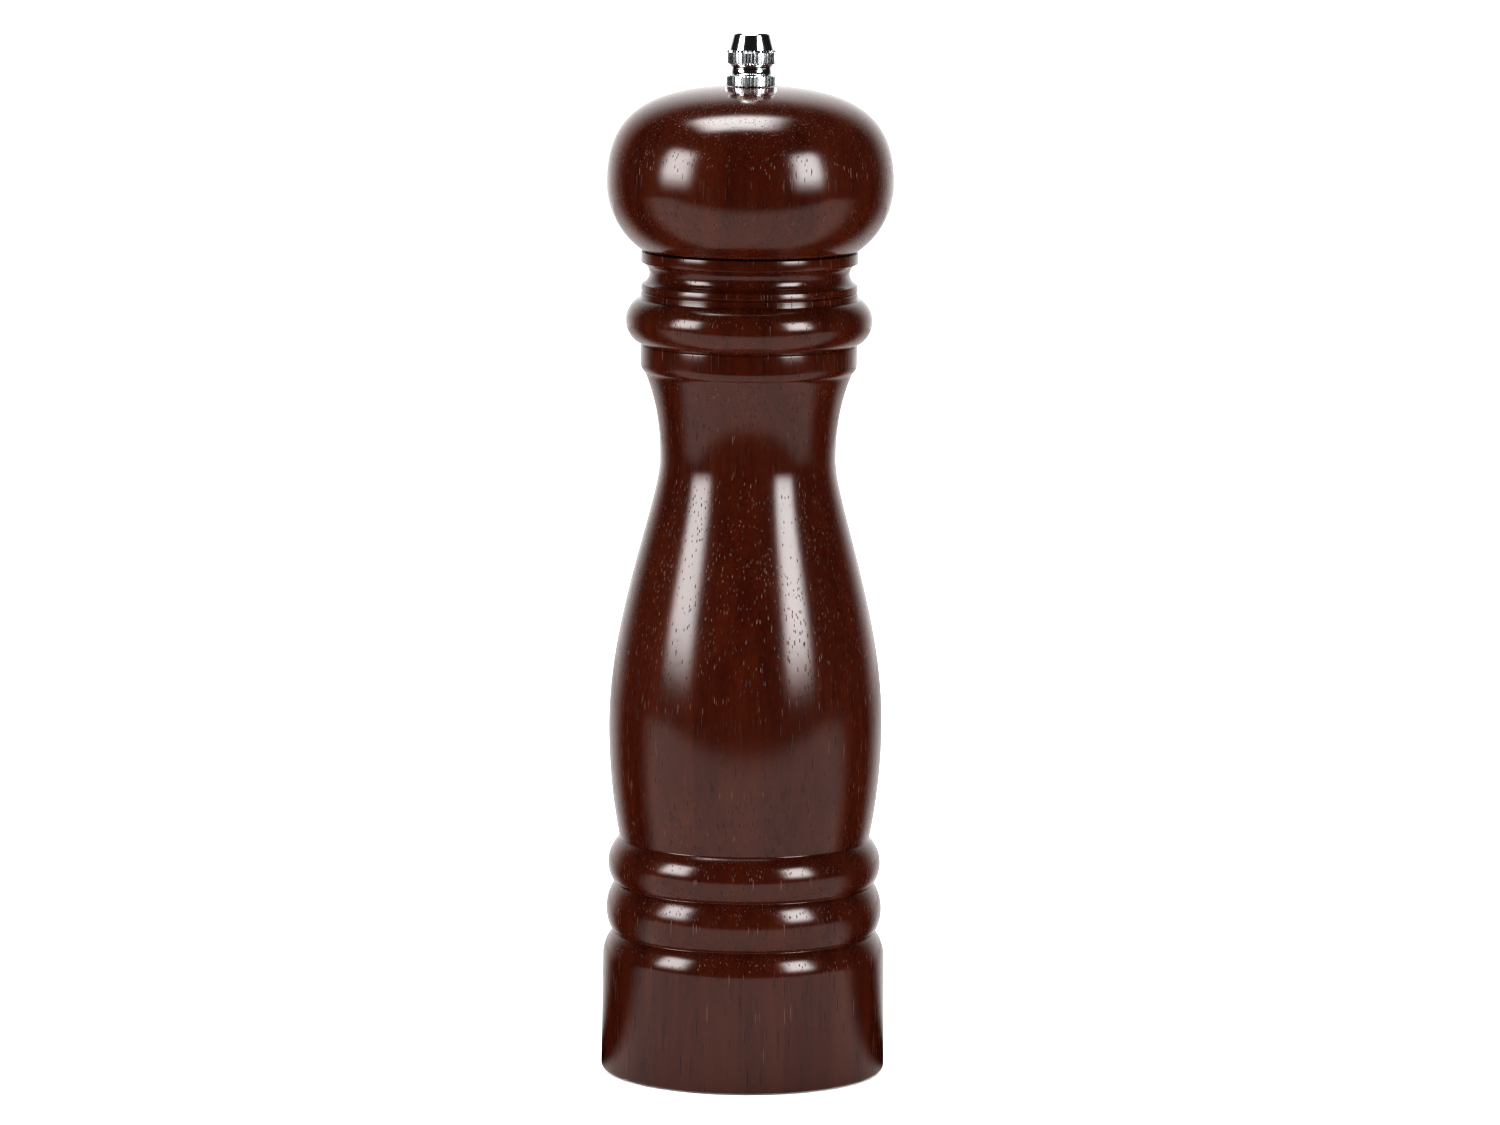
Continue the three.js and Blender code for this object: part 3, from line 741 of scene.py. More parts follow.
def rise(bm, edges, height, factor, twist):
    """Draws a loop of edges up, in or out, and round."""
    drawn = bmesh.ops.extrude_edge_only(bm, edges=edges)["geom"]
    verts = only(bmesh.types.BMVert, drawn)
    bmesh.ops.translate(bm, verts=verts, vec=(0, 0, height))
    bmesh.ops.scale(bm, vec=(factor, factor, 1), verts=verts)
    bmesh.ops.rotate(bm, cent=(0, 0, 0), matrix=Matrix.Rotation(twist, 3, "Z"), verts=verts)
    return only(bmesh.types.BMEdge, drawn)


def finish_burr(bm, part, body):
    merge(bm)
    finish_piece(bm, part, body, [burr_steel()], smooth_angle=28)


class MILL_OT_burrs(bpy.types.Operator):
    """Makes the toothed cone on the shaft and the toothed ring round it"""

    bl_idname = "mill.burrs"
    bl_label = "Burrs"

    def execute(self, context):
        self.make_cone()
        self.make_ring()
        return {"FINISHED"}

    def make_cone(self):
        """A cone with fourteen spiral teeth, each split into two fine ones near its foot."""
        bm = bmesh.new()
        foot_tip, top_tip, depth, teeth, hub = 12.0, 6.46, 1.0, 14, 5.05
        layers, fine_layers, blend_layers = 24, 8, 4
        twist = math.radians(30) / layers
        height = CONE_TOP - CONE_FOOT
        steps = teeth * len(FINE_TEETH)
        edges = loop_at(bm, round_corners(foot_tip, steps), CONE_FOOT)
        rings = [edges]
        for _ in range(layers):
            edges = rise(bm, edges, height / layers, 1.0, twist)
            rings.append(edges)
        for layer, ring in enumerate(rings):
            tip = foot_tip + (top_tip - foot_tip) * layer / layers
            blend = clamped((layer - fine_layers) / blend_layers)
            low_end = min(1.0, layer * 0.8 + 0.1)
            drop = depth * (0.55 + 0.45 * blend) * low_end
            for vert in verts_of(ring):
                turn = math.atan2(vert.co.y, vert.co.x) - twist * layer
                place = round(turn / FULL_TURN * steps) % len(FINE_TEETH)
                stand = FINE_TEETH[place] * (1 - blend) + COARSE_TOOTH[place] * blend
                vert.co.xy *= (tip - drop * (1 - stand)) / foot_tip
        for ring, level in ((rings[0], CONE_FOOT), (rings[-1], CONE_TOP)):
            hub_edges = rise(bm, ring, 0, 1, 0)
            for vert in verts_of(hub_edges):
                vert.co.xy *= hub / vert.co.xy.length
            hole_edges = loop_at(bm, SQUARE, level)
            bmesh.ops.triangle_fill(bm, edges=hub_edges + hole_edges, use_beauty=True)
        hole = [edge for edge in bm.edges if edge.is_boundary]
        bmesh.ops.bridge_loops(bm, edges=hole)
        finish_burr(bm, "inner_burr", "burr_shaft")

    def make_ring(self):
        """A ring with twenty-eight saw teeth inside, a chamfered mouth and a plain outside."""
        bm = bmesh.new()
        tip_foot, tip_top, depth, teeth, mouth = 12.8, 11.2, 0.9, 28, 0.5
        layers = 10
        height = BURR_TOP - BURR_FOOT - mouth
        twist = -math.radians(12) / layers
        corners = toothed(tip_foot, tip_foot + depth, teeth, SAW_TOOTH[::-1])
        edges = loop_at(bm, corners, BURR_FOOT + mouth)
        chamfer = rise(bm, edges, -mouth, (tip_foot + 0.55) / tip_foot, 0)
        for layer in range(layers):
            wide = tip_foot + (tip_top - tip_foot) * layer / layers
            narrow = tip_foot + (tip_top - tip_foot) * (layer + 1) / layers
            edges = rise(bm, edges, height / layers, narrow / wide, twist)
        rims = []
        outside = ((BURR_FOOT, 0.4), (BURR_FOOT + 0.4, 0), (BURR_TOP - 0.3, 0), (BURR_TOP, 0.3))
        for level, inset in outside:
            rims.append(loop_at(bm, round_corners(BURR_RADIUS - inset, len(corners)), level))
        for lower, upper in zip([chamfer, *rims], [*rims, edges]):
            bmesh.ops.bridge_loops(bm, edges=lower + upper)
        finish_burr(bm, "outer_burr", "mill_body")


# ---- Sheet metal, washers, clip and spring ----


class MILL_OT_bridge(bpy.types.Operator):
    """Bends the crossbar over the burr from a strip of sheet"""

    bl_idname = "mill.bridge"
    bl_label = "Bridge"

    def execute(self, context):
        bm = bmesh.new()
        knee, shoulder = 11.4, 5.6
        right = [(BRIDGE_TOE, BRIDGE_FOOT), (knee, BRIDGE_FOOT), (shoulder, BRIDGE_TOP - SHEET)]
        line = right + [(-x, z) for x, z in reversed(right)]
        verts = [bm.verts.new((x, -BRIDGE_HALF_WIDTH, z)) for x, z in line]
        for pair in zip(verts, verts[1:]):
            bm.edges.new(pair)
        bevel(bm, verts[1:-1], 0.9, 5, "VERTICES")
        drawn = bmesh.ops.extrude_edge_only(bm, edges=bm.edges)["geom"]
        far = only(bmesh.types.BMVert, drawn)
        bmesh.ops.translate(bm, verts=far, vec=(0, 2 * BRIDGE_HALF_WIDTH, 0))
        bmesh.ops.recalc_face_normals(bm, faces=bm.faces)
        if sum(face.normal.z for face in bm.faces) > 0:
            bmesh.ops.reverse_faces(bm, faces=bm.faces[:])
        bmesh.ops.solidify(bm, geom=bm.faces[:], thickness=SHEET)
        drill = cylinder(SHAFT_HOLE, BRIDGE_TOP - CUT_PAST, BRIDGE_TOP + SHEET, 48)
        finish_sheet(combined(bm, [drill], "DIFFERENCE"), "bridge", "mill_body", 0.1, 1)
        return {"FINISHED"}


def finish_sheet(bm, part, body, edge, segments=2):
    soften_edges(bm, edge, segments)
    finish_piece(bm, part, body, [plated_steel("Plated steel", 0.0)])


def screw_rings(places):
    return [round_corners(SCREW_HOLE, SCREW_STEPS, x, y) for x, y in places]


class MILL_OT_plates(bpy.types.Operator):
    """Cuts the retaining plate in the foot and the drive plate under the head"""

    bl_idname = "mill.plates"
    bl_label = "Plates"

    def execute(self, context):
        rims = [round_corners(radius, METAL_STEPS) for radius in (PLATE_RADIUS, PLATE_HOLE)]
        bm = sheet_from(rims + screw_rings(plate_screw_places()), PLATE_FOOT, PLATE_TOP)
        finish_sheet(bm, "retaining_plate", "mill_body", 0.16)
        rims = [round_corners(DRIVE_RADIUS, METAL_STEPS), SQUARE]
        bm = sheet_from(rims + screw_rings(drive_screw_places()), DRIVE_FOOT, DRIVE_TOP)
        finish_sheet(bm, "drive_plate", "head_set", 0.14)
        return {"FINISHED"}


def washer_outline(part, hole, soft):
    foot, top, radius = low(part), high(part), high(part, 0)
    outline = Outline(hole, foot, soft).to(radius, foot, soft)
    return outline.to(radius, top, soft).to(hole, top, soft)


class MILL_OT_washers(bpy.types.Operator):
    """Stamps the washer over the spring and the one under the cone"""

    bl_idname = "mill.washers"
    bl_label = "Washers"

    def execute(self, context):
        finish = plated_steel("Plated steel", 0.0)
        washers = (
            ("thrust_washer", SHAFT_HOLE, "turning_spindle"),
            ("burr_washer", BURR_WASHER_HOLE, "burr_shaft"),
        )
        for part, hole, body in washers:
            bm = lathe(washer_outline(part, hole, 0.14), METAL_STEPS)
            finish_piece(bm, part, body, [finish])
        return {"FINISHED"}


class MILL_OT_clip(bpy.types.Operator):
    """Stamps the three-pronged clip that holds the cone on the shaft"""

    bl_idname = "mill.clip"
    bl_label = "Clip"

    def execute(self, context):
        inner, outer, relief = 2.05, high("retaining_clip", 1), 3.0
        mouth = math.radians(38)
        prongs = ((0.0, 0.13), (0.37, 0.63), (0.87, 1.0))
        steps = 72
        turns = [mouth + (FULL_TURN - 2 * mouth) * step / steps for step in range(steps + 1)]
        corners = [polar(outer, turn) for turn in turns]
        for step in range(steps, -1, -1):
            on_prong = any(start <= step / steps <= end for start, end in prongs)
            corners.append(polar(inner if on_prong else relief, turns[step]))
        bm = sheet_from([corners], low("retaining_clip"), high("retaining_clip"))
        soften_edges(bm, 0.1)
        finish_piece(bm, "retaining_clip", "burr_shaft", [spring_steel()])
        return {"FINISHED"}


def close_ends(bm):
    bmesh.ops.edgeloop_fill(bm, edges=[edge for edge in bm.edges if edge.is_boundary])


class MILL_OT_spring(bpy.types.Operator):
    """Winds the spring with closed ends, and grinds its ends flat"""

    bl_idname = "mill.spring"
    bl_label = "Spring"

    def execute(self, context):
        wire = context.scene.mill_metal.wire_radius / MM
        coil_radius = high("spring", 0) - wire
        closed_pitch = 2 * wire * 0.96
        ground = wire * 0.5
        height = SPRING_TOP - SPRING_FOOT
        open_rise = height - 2 * wire - 2 * closed_pitch + 2 * ground
        bm = bmesh.new()
        place = Matrix.Translation((coil_radius, 0, SPRING_FOOT + wire - ground))
        upright = Matrix.Rotation(math.pi / 2, 4, "X")
        ring = bmesh.ops.create_circle(
            bm, cap_ends=False, segments=12, radius=wire, matrix=place @ upright
        )
        section = ring["verts"] + bm.edges[:]
        closed_end = (1.0, 32, closed_pitch)
        for turns, steps, climb in (closed_end, (3.0, 96, open_rise), closed_end):
            section = spin(bm, section, steps, turns, climb, full=False)["geom_last"]
        close_ends(bm)
        merge(bm, 1e-5)
        for level, outwards in ((SPRING_FOOT, -1), (SPRING_TOP, 1)):
            cut_off(bm, level, outwards, 1e-6)
            close_ends(bm)
        merge(bm, 1e-5)
        finish = [spring_steel()]
        piece = finish_piece(bm, "spring", "turning_spindle", finish, 50)
        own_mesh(piece)
        return {"FINISHED"}


# ---- Screws ----

SCREW_CORE = 1.02
SCREW_HEAD = 1.5


def screw_stock(length):
    """A pan head and a plain shank with a tapered point."""
    outline = Outline(0, -1.5).to(1.1, -1.46).to(1.62, -1.2).to(1.98, -0.78).to(2.1, -0.3, 0.05)
    outline.to(2.1, 0, 0.08).to(SCREW_CORE, 0, 0.1).to(SCREW_CORE, length - 2.2)
    return lathe(outline.to(0.55, length - 0.9).to(0, length), 32, closed=False)


def screw_ridge(length):
    """The wood thread: a triangle wound up the shank, which runs out towards the point."""
    bm = bmesh.new()
    pitch, crest = 1.0, 0.3
    first, last = [bm.verts.new((SCREW_CORE - 0.1, 0, height)) for height in (0.75, 1.17)]
    tip = bm.verts.new((SCREW_CORE + crest, 0, 0.96))
    edges = [bm.edges.new(pair) for pair in ((first, tip), (tip, last), (last, first))]
    turns = (length - 2.4) / pitch
    steps = round(turns * SCREW_STEPS)
    section = [first, last, tip, *edges]
    spin(bm, section, steps, steps / SCREW_STEPS, turns * pitch - 0.2, full=False)
    for vert in bm.verts:
        run_out = clamped((length - 0.35 - vert.co.z) / 1.9)
        vert.co.xy *= 0.42 + 0.58 * run_out
    close_ends(bm)
    merge(bm, 1e-5)
    return bm


def recess_arm(turn):
    """One arm of the cross recess, narrower towards its bottom."""
    bm = bmesh.new()
    bmesh.ops.create_cube(bm, size=1)
    bmesh.ops.scale(bm, vec=(2.3, 0.46, 1.2), verts=bm.verts)
    inner = [vert for vert in bm.verts if vert.co.z > 0]
    bmesh.ops.scale(bm, vec=(0.35, 0.7, 1), verts=inner)
    bmesh.ops.translate(bm, verts=bm.verts, vec=(0, 0, -1.2))
    bmesh.ops.rotate(bm, cent=(0, 0, 0), matrix=Matrix.Rotation(turn, 3, "Z"), verts=bm.verts)
    return bm


def screw_shape(length):
    """A pan-head screw standing point upwards, with the underside of its head at height 0."""
    bm = combined(screw_stock(length), [screw_ridge(length)], "UNION")
    return combined(bm, [recess_arm(0), recess_arm(math.pi / 2)], "DIFFERENCE")


class MILL_OT_screws(bpy.types.Operator):
    """Sets the three screws of the retaining plate and the two of the drive plate"""

    bl_idname = "mill.screws"
    bl_label = "Screws"

    def execute(self, context):
        finish = plated_steel("Screw steel", 0.35)
        rows = (
            ("retaining_screw_", plate_screw_places(), 8.0, "mill_body"),
            ("drive_plate_screw_", drive_screw_places(), 9.0, "head_set"),
        )
        for stem, places, length, body in rows:
            for number, (x, y) in enumerate(places, 1):
                part = f"{stem}{number}"
                bm = screw_shape(length)
                turn = Matrix.Rotation(math.radians(25 + 40 * number), 3, "Z")
                bmesh.ops.rotate(bm, cent=(0, 0, 0), matrix=turn, verts=bm.verts)
                bmesh.ops.translate(bm, verts=bm.verts, vec=(x, y, low(part) + SCREW_HEAD))
                finish_piece(bm, part, body, [finish])
        return {"FINISHED"}


# ---- Shader node groups ----


def node(tree, kind, inputs=None, **settings):
    """Adds a node, sets it, and fills its inputs with values or with the outputs of other nodes."""
    made = tree.nodes.new(kind)
    for name, value in settings.items():
        setattr(made, name, value)
    for name, value in (inputs or {}).items():
        if isinstance(value, bpy.types.NodeSocket):
            tree.links.new(value, made.inputs[name])
        else:
            made.inputs[name].default_value = value
    return made


def maths(tree, operation, *values):
    return node(tree, "ShaderNodeMath", dict(enumerate(values)), operation=operation).outputs[0]


def times(tree, first, second):
    return maths(tree, "MULTIPLY", first, second)


def ranged(tree, value, low_in, high_in, low_out=0.0, high_out=1.0, smooth=False):
    """Maps a value from one range to another, and keeps it inside."""
    inputs = {
        "Value": value,
        "From Min": low_in,
        "From Max": high_in,
        "To Min": low_out,
        "To Max": high_out,
    }
    kind = "SMOOTHSTEP" if smooth else "LINEAR"
    return node(tree, "ShaderNodeMapRange", inputs, interpolation_type=kind).outputs[0]


def mixed(tree, share, first, second):
    """A colour between two colours."""
    return node(tree, "ShaderNodeMix", {0: share, 6: first, 7: second}, data_type="RGBA").outputs[2]


def axes(tree, vector):
    return node(tree, "ShaderNodeSeparateXYZ", {0: vector}).outputs


def reach(tree, vector):
    """How long a vector is."""
    return node(tree, "ShaderNodeVectorMath", {0: vector}, operation="LENGTH").outputs["Value"]


def scaled(tree, vector, factor):
    return node(tree, "ShaderNodeVectorMath", {0: vector, 3: factor}, operation="SCALE").outputs[0]


def stretched(tree, vector, across, along):
    """Coordinates cut into cells, so many millimetres across the grain and along it."""
    scale = (1 / (across * MM), 1 / (across * MM), 1 / (along * MM))
    return node(tree, "ShaderNodeMapping", {"Vector": vector, "Scale": scale}).outputs[0]


def noise(tree, vector, scale=1.0, detail=2.0, roughness=0.5, output=0):
    """Clouds as a value from output 0, or as a colour from output 1."""
    inputs = {"Vector": vector, "Scale": scale, "Detail": detail, "Roughness": roughness}
    return node(tree, "ShaderNodeTexNoise", inputs).outputs[output]


def new_group(name, numbers, outputs, fill):
    """A node group that reads a vector and numbers, and that fill gives its outputs."""
    tree = bpy.data.node_groups.new(name, "ShaderNodeTree")
    tree.interface.new_socket(name="Vector", in_out="INPUT", socket_type="NodeSocketVector")
    kind = "NodeSocketFloat"
    for label, value in numbers.items():
        made = tree.interface.new_socket(name=label, in_out="INPUT", socket_type=kind)
        made.default_value = value
    for label in outputs:
        tree.interface.new_socket(name=label, in_out="OUTPUT", socket_type=kind)
    given = tree.nodes.new("NodeGroupInput").outputs
    result = tree.nodes.new("NodeGroupOutput").inputs
    for label, value in zip(outputs, fill(tree, given)):
        tree.links.new(value, result[label])


def grouped(tree, name, coordinates, numbers, outputs, fill):
    """Places a node group, which is made the first time it is asked for."""
    if name not in bpy.data.node_groups:
        new_group(name, numbers, outputs, fill)
    inputs = {"Vector": coordinates, **numbers}
    return node(tree, "ShaderNodeGroup", inputs, node_tree=bpy.data.node_groups[name]).outputs


def upright_grain(tree, given):
    """Fibres, figure and open pores of wood that stands upright, some of the pores dusty."""
    wander = noise(tree, stretched(tree, given["Vector"], 9, 60), detail=1.0, output=1)
    drift = scaled(tree, wander, 0.0016)
    drifted = node(
        tree, "ShaderNodeVectorMath", {0: given["Vector"], 1: drift}, operation="ADD"
    ).outputs[0]
    fibres = noise(tree, stretched(tree, drifted, 0.45, 24), detail=4.0, roughness=0.62)
    figure = noise(tree, stretched(tree, drifted, 5.5, 75), detail=3.0)
    crowd = noise(tree, stretched(tree, drifted, 3.5, 28))
    vessels = {"Vector": stretched(tree, drifted, 0.33, 9), "Scale": 1.0}
    cells = node(tree, "ShaderNodeTexVoronoi", vessels).outputs
    chance = node(tree, "ShaderNodeSeparateColor", {0: cells["Color"]}).outputs
    share = times(tree, given["Pore share"], ranged(tree, crowd, 0.35, 0.65, 0.5, 1.5))
    chosen = maths(tree, "LESS_THAN", chance[0], share)
    width = times(tree, given["Pore width"], ranged(tree, chance[1], 0, 1, 0.7, 1.15))
    tube = ranged(tree, cells["Distance"], width, times(tree, width, 0.5), smooth=True)
    pores = times(tree, tube, chosen)
    dust = times(tree, pores, maths(tree, "GREATER_THAN", chance[2], 0.8))
    height = maths(tree, "MULTIPLY_ADD", pores, -1.0, times(tree, fibres, 0.1))
    return fibres, figure, pores, dust, height


def grain_at(tree, coordinates, share, width):
    numbers = {"Pore share": share, "Pore width": width}
    outputs = ("Fibres", "Figure", "Pores", "Dust", "Height")
    return grouped(tree, "Upright wood grain", coordinates, numbers, outputs, upright_grain)


def handled_metal(tree, given):
    """Cloudy patches and fine scratches in two directions."""

    def divided(size):
        return scaled(tree, given["Vector"], maths(tree, "DIVIDE", 1.0, given[size]))

    patches = noise(tree, divided("Patch size"), detail=4.0, roughness=0.6)
    lines = []
    for tilt in ((0.3, 0.9, 0.2), (1.1, 0.2, 1.4)):
        thin = (1.0, 0.04, 0.6)
        inputs = {"Vector": divided("Scratch size"), "Rotation": tilt, "Scale": thin}
        turned = node(tree, "ShaderNodeMapping", inputs).outputs[0]
        lines.append(ranged(tree, noise(tree, turned), 0.58, 0.72))
    scratches = maths(tree, "MAXIMUM", *lines)
    height = maths(tree, "MULTIPLY_ADD", scratches, -0.5, times(tree, patches, 0.6))
    return patches, scratches, height


def wear_at(tree, coordinates, patch, scratch):
    numbers = {"Patch size": patch, "Scratch size": scratch}
    outputs = ("Patches", "Scratches", "Height")
    return grouped(tree, "Handled metal", coordinates, numbers, outputs, handled_metal)


# ---- Materials ----


def cleared(data):
    """The node tree of a material, light or world, with nothing in it."""
    data.use_nodes = True
    data.node_tree.nodes.clear()
    return data.node_tree


def made_once(build):
    """Turns a function that fills a material into one that makes it by name, only once."""

    def finished(name, *values, **settings):
        if name not in bpy.data.materials:
            made = bpy.data.materials.new(name)
            tree = cleared(made)
            shader = node(tree, "ShaderNodeBsdfPrincipled")
            node(tree, "ShaderNodeOutputMaterial", {"Surface": shader.outputs[0]})
            coordinates = node(tree, "ShaderNodeTexCoord").outputs["Object"]
            build(tree, shader.inputs, coordinates, *values, **settings)
        return bpy.data.materials[name]

    return finished


def opaque(colour, factor=1.0):
    """A colour with its alpha, darkened by a factor."""
    return (*(channel * factor for channel in colour), 1.0)


def bump(tree, height, distance, strength=1.0, under=None):
    """A bumped normal, over another one if it is given."""
    inputs = {"Height": height, "Distance": distance, "Strength": strength}
    if under is not None:
        inputs["Normal"] = under
    return node(tree, "ShaderNodeBump", inputs).outputs[0]


def streaks(tree, wood, low_in, high_in, dark, pale):
    """A colour that goes from dark to pale with the fibres and the figure."""
    fibres, figure = wood["Fibres"], times(tree, wood["Figure"], 0.45)
    streak = maths(tree, "MULTIPLY_ADD", fibres, 0.55, figure)
    return mixed(tree, ranged(tree, streak, low_in, high_in), dark, pale)


@made_once
def lacquer_finish(tree, shader, coordinates, colours):
    """Stained wood under gloss lacquer that doesn't fill its pores."""
    wood = grain_at(tree, coordinates, share=0.46, width=0.32)
    stain = streaks(tree, wood, 0.36, 0.66, opaque(colours.stain), opaque(colours.pale_stain))
    hollow = mixed(tree, wood["Dust"], opaque(colours.pore_stain), opaque(colours.pore_dust))
    colour = mixed(tree, times(tree, wood["Pores"], 0.9), stain, hollow)
    tree.links.new(colour, shader["Base Color"])
    gloss = colours.lacquer_roughness
    tree.links.new(ranged(tree, wood["Pores"], 0, 1, gloss, gloss + 0.3), shader["Roughness"])
    shader["IOR"].default_value = 1.5
    ripple = noise(tree, coordinates, scale=620.0)
    tool_marks = noise(tree, stretched(tree, coordinates, 14, 0.4))
    skin = maths(tree, "MULTIPLY_ADD", tool_marks, 0.22, ripple)
    surface = bump(tree, skin, 0.000012, 0.6)
    tree.links.new(bump(tree, wood["Height"], 0.00004, 0.5, surface), shader["Normal"])


@made_once
def sawn_finish(tree, shader, coordinates, colour):
    """Unlacquered wood with open grain and a dusty matt surface."""
    wood = grain_at(tree, coordinates, share=0.6, width=0.26)
    stain = streaks(tree, wood, 0.36, 0.64, opaque(colour, 0.62), opaque(colour))
    pored = mixed(tree, wood["Pores"], stain, opaque(colour, 0.25))
    tree.links.new(pored, shader["Base Color"])
    tree.links.new(ranged(tree, wood["Fibres"], 0.3, 0.7, 0.62, 0.82), shader["Roughness"])
    shader["Specular IOR Level"].default_value = 0.3
    tree.links.new(bump(tree, wood["Height"], 0.00012, 0.8), shader["Normal"])


@made_once
def metal_finish(
    tree, shader, coordinates, colour, roughness, patch, scratch, depth, dulled, knurl=None
):
    """A metal with patches and scratches. Roughness is given as its smoothest and roughest."""
    marks = wear_at(tree, coordinates, patch, scratch)
    patches = ranged(tree, marks["Patches"], 0.35, 0.65)
    tone = mixed(tree, patches, opaque(colour, 1 - dulled), opaque(colour))
    tree.links.new(tone, shader["Base Color"])
    shader["Metallic"].default_value = 1.0
    rub = maths(tree, "MULTIPLY_ADD", marks["Scratches"], 0.35, marks["Patches"])
    rough = ranged(tree, rub, 0.35, 0.9, *roughness)
    if knurl:
        inside, top = knurl
        parts = axes(tree, coordinates)
        flat = node(tree, "ShaderNodeCombineXYZ", {"X": parts["X"], "Y": parts["Y"]}).outputs[0]
        outer = ranged(tree, reach(tree, flat), inside, inside + 0.0001)
        bands = times(tree, outer, maths(tree, "LESS_THAN", parts["Z"], top))
        rough = maths(tree, "MULTIPLY_ADD", bands, 0.17, rough)
    tree.links.new(rough, shader["Roughness"])
    tree.links.new(bump(tree, marks["Height"], depth, 0.6), shader["Normal"])


def lacquered_wood():
    """Dark red-brown lacquered wood of the outside."""
    return lacquer_finish("Lacquered wood", bpy.context.scene.mill_wood)


def bare_wood():
    """Pale wood of the bores."""
    return sawn_finish("Bare wood", bpy.context.scene.mill_wood.bare_wood)


def nut_chrome():
    """Bright plate with the faint cloud of fingers on it, satin where the ribs were pressed."""
    return metal_finish(
        "Nut chrome",
        bpy.context.scene.mill_metal.chrome,
        roughness=(0.08, 0.16),
        patch=0.0018,
        scratch=0.00022,
        depth=0.000002,
        dulled=0.08,
        knurl=((NUT_RADIUS - 0.55) * MM, (NUT_SEAT + 7.0) * MM),
    )


def plated_steel(name, grime):
    """Zinc plate, dulled a little where hands or pepper dust have been."""
    return metal_finish(
        name,
        bpy.context.scene.mill_metal.zinc,
        roughness=(0.26, 0.42 + grime * 0.15),
        patch=0.0021,
        scratch=0.00025,
        depth=0.000004,
        dulled=0.1 + grime * 0.2,
    )


def burr_steel():
    """Hardened and blackened steel of the burrs."""
    return metal_finish(
        "Burr steel",
        bpy.context.scene.mill_metal.hardened_steel,
        roughness=(0.32, 0.56),
        patch=0.0014,
        scratch=0.00018,
        depth=0.000014,
        dulled=0.35,
    )


def spring_steel():
    """Drawn wire and hardened strip."""
    return metal_finish(
        "Spring steel",
        bpy.context.scene.mill_metal.spring_steel,
        roughness=(0.22, 0.4),
        patch=0.0012,
        scratch=0.00016,
        depth=0.000005,
        dulled=0.25,
    )


# ---- Stage ----

AIM = Vector((0.00064, 0, 0.1056))
CAMERA_ROLL = math.radians(0.54)
FLOOR_RADIUS = 0.9
FLOOR_GAP = 0.0002


def softbox(name, azimuth, distance, height, width, tall, power, flat=False):
    """A rectangular light with soft edges, upright and facing the object or flat over it.

    Its azimuth is counted from the camera's side.
    """
    data = bpy.data.lights.new(name, "AREA")
    data.shape = "RECTANGLE"
    data.size, data.size_y = width, tall
    data.energy = power
    light = linked(name, data)
    turn = math.radians(azimuth)
    light.location = (distance * math.sin(turn), -distance * math.cos(turn), height)
    light.rotation_euler = (0 if flat else math.pi / 2, 0, turn)
    light.visible_camera = False
    tree = cleared(data)
    parts = axes(tree, node(tree, "ShaderNodeNewGeometry").outputs["Parametric"])
    strength = 1.0
    for axis in "XY":
        off_middle = maths(tree, "ABSOLUTE", maths(tree, "SUBTRACT", parts[axis], 0.5))
        inset = maths(tree, "SUBTRACT", 0.5, off_middle)
        strength = times(tree, strength, ranged(tree, inset, 0.0, 0.3, 0.02, 1.0, smooth=True))
    glow = node(tree, "ShaderNodeEmission", {"Strength": strength}).outputs[0]
    node(tree, "ShaderNodeOutputLight", {0: glow})
    return light


def grey(level):
    return (level, level, level, 1)


def floor_material():
    """A pale matt table top that can't be seen from underneath, and lets light in under the foot.

    Its colour is painted by ray. To the camera it is pale. To light it throws onto the object it is
    a painted bounce of 1.5, brighter than white. In the gloss of the lacquer it is a painted
    reflection, dark except for the table in front of the object and far behind it, which alone
    shows there.
    """
    made = bpy.data.materials.new("Pale floor")
    tree = cleared(made)
    rays = node(tree, "ShaderNodeLightPath").outputs
    coordinates = node(tree, "ShaderNodeTexCoord").outputs["Object"]
    cloud = noise(tree, coordinates, scale=6.0, detail=3.0)
    bright = mixed(tree, cloud, grey(0.9), grey(0.93))
    parts = axes(tree, coordinates)
    off_centre = reach(tree, coordinates)
    bearing = maths(tree, "DIVIDE", parts["Y"], off_centre)
    # Mask of where the painted reflection of the table is pale: ahead of the object near the front,
    # and far behind it.
    ahead = ranged(tree, bearing, 0.16, -0.2, smooth=True)
    front = times(tree, ahead, ranged(tree, parts["Y"], -0.44, -0.27, smooth=True))
    pale = maths(tree, "MAXIMUM", front, ranged(tree, bearing, 0.5, 0.85, smooth=True))
    # Painted reflection: the floor's colour as the lacquer's gloss sees it, from black up to 0.35.
    painted_reflection = mixed(tree, pale, grey(0.0), grey(0.35))
    # Painted bounce light: to diffuse and shadow rays the floor is 1.5, brighter than white. Glossy
    # rays get the painted reflection instead.
    painted_bounce_and_reflection = mixed(tree, rays["Is Glossy Ray"], grey(1.5), painted_reflection)
    colour = mixed(tree, rays["Is Camera Ray"], painted_bounce_and_reflection, bright)
    matt = node(tree, "ShaderNodeBsdfDiffuse", {"Color": colour}).outputs[0]
    clear = node(tree, "ShaderNodeBsdfTransparent").outputs[0]
    behind = node(tree, "ShaderNodeNewGeometry").outputs["Backfacing"]
    in_foot = maths(tree, "LESS_THAN", off_centre, BASE_RADIUS * MM - 0.001)
    under = times(tree, in_foot, maths(tree, "SUBTRACT", 1.0, rays["Is Camera Ray"]))
    gone = maths(tree, "MAXIMUM", behind, under)
    surface = node(tree, "ShaderNodeMixShader", {0: gone, 1: matt, 2: clear}).outputs[0]
    node(tree, "ShaderNodeOutputMaterial", {"Surface": surface})
    return made


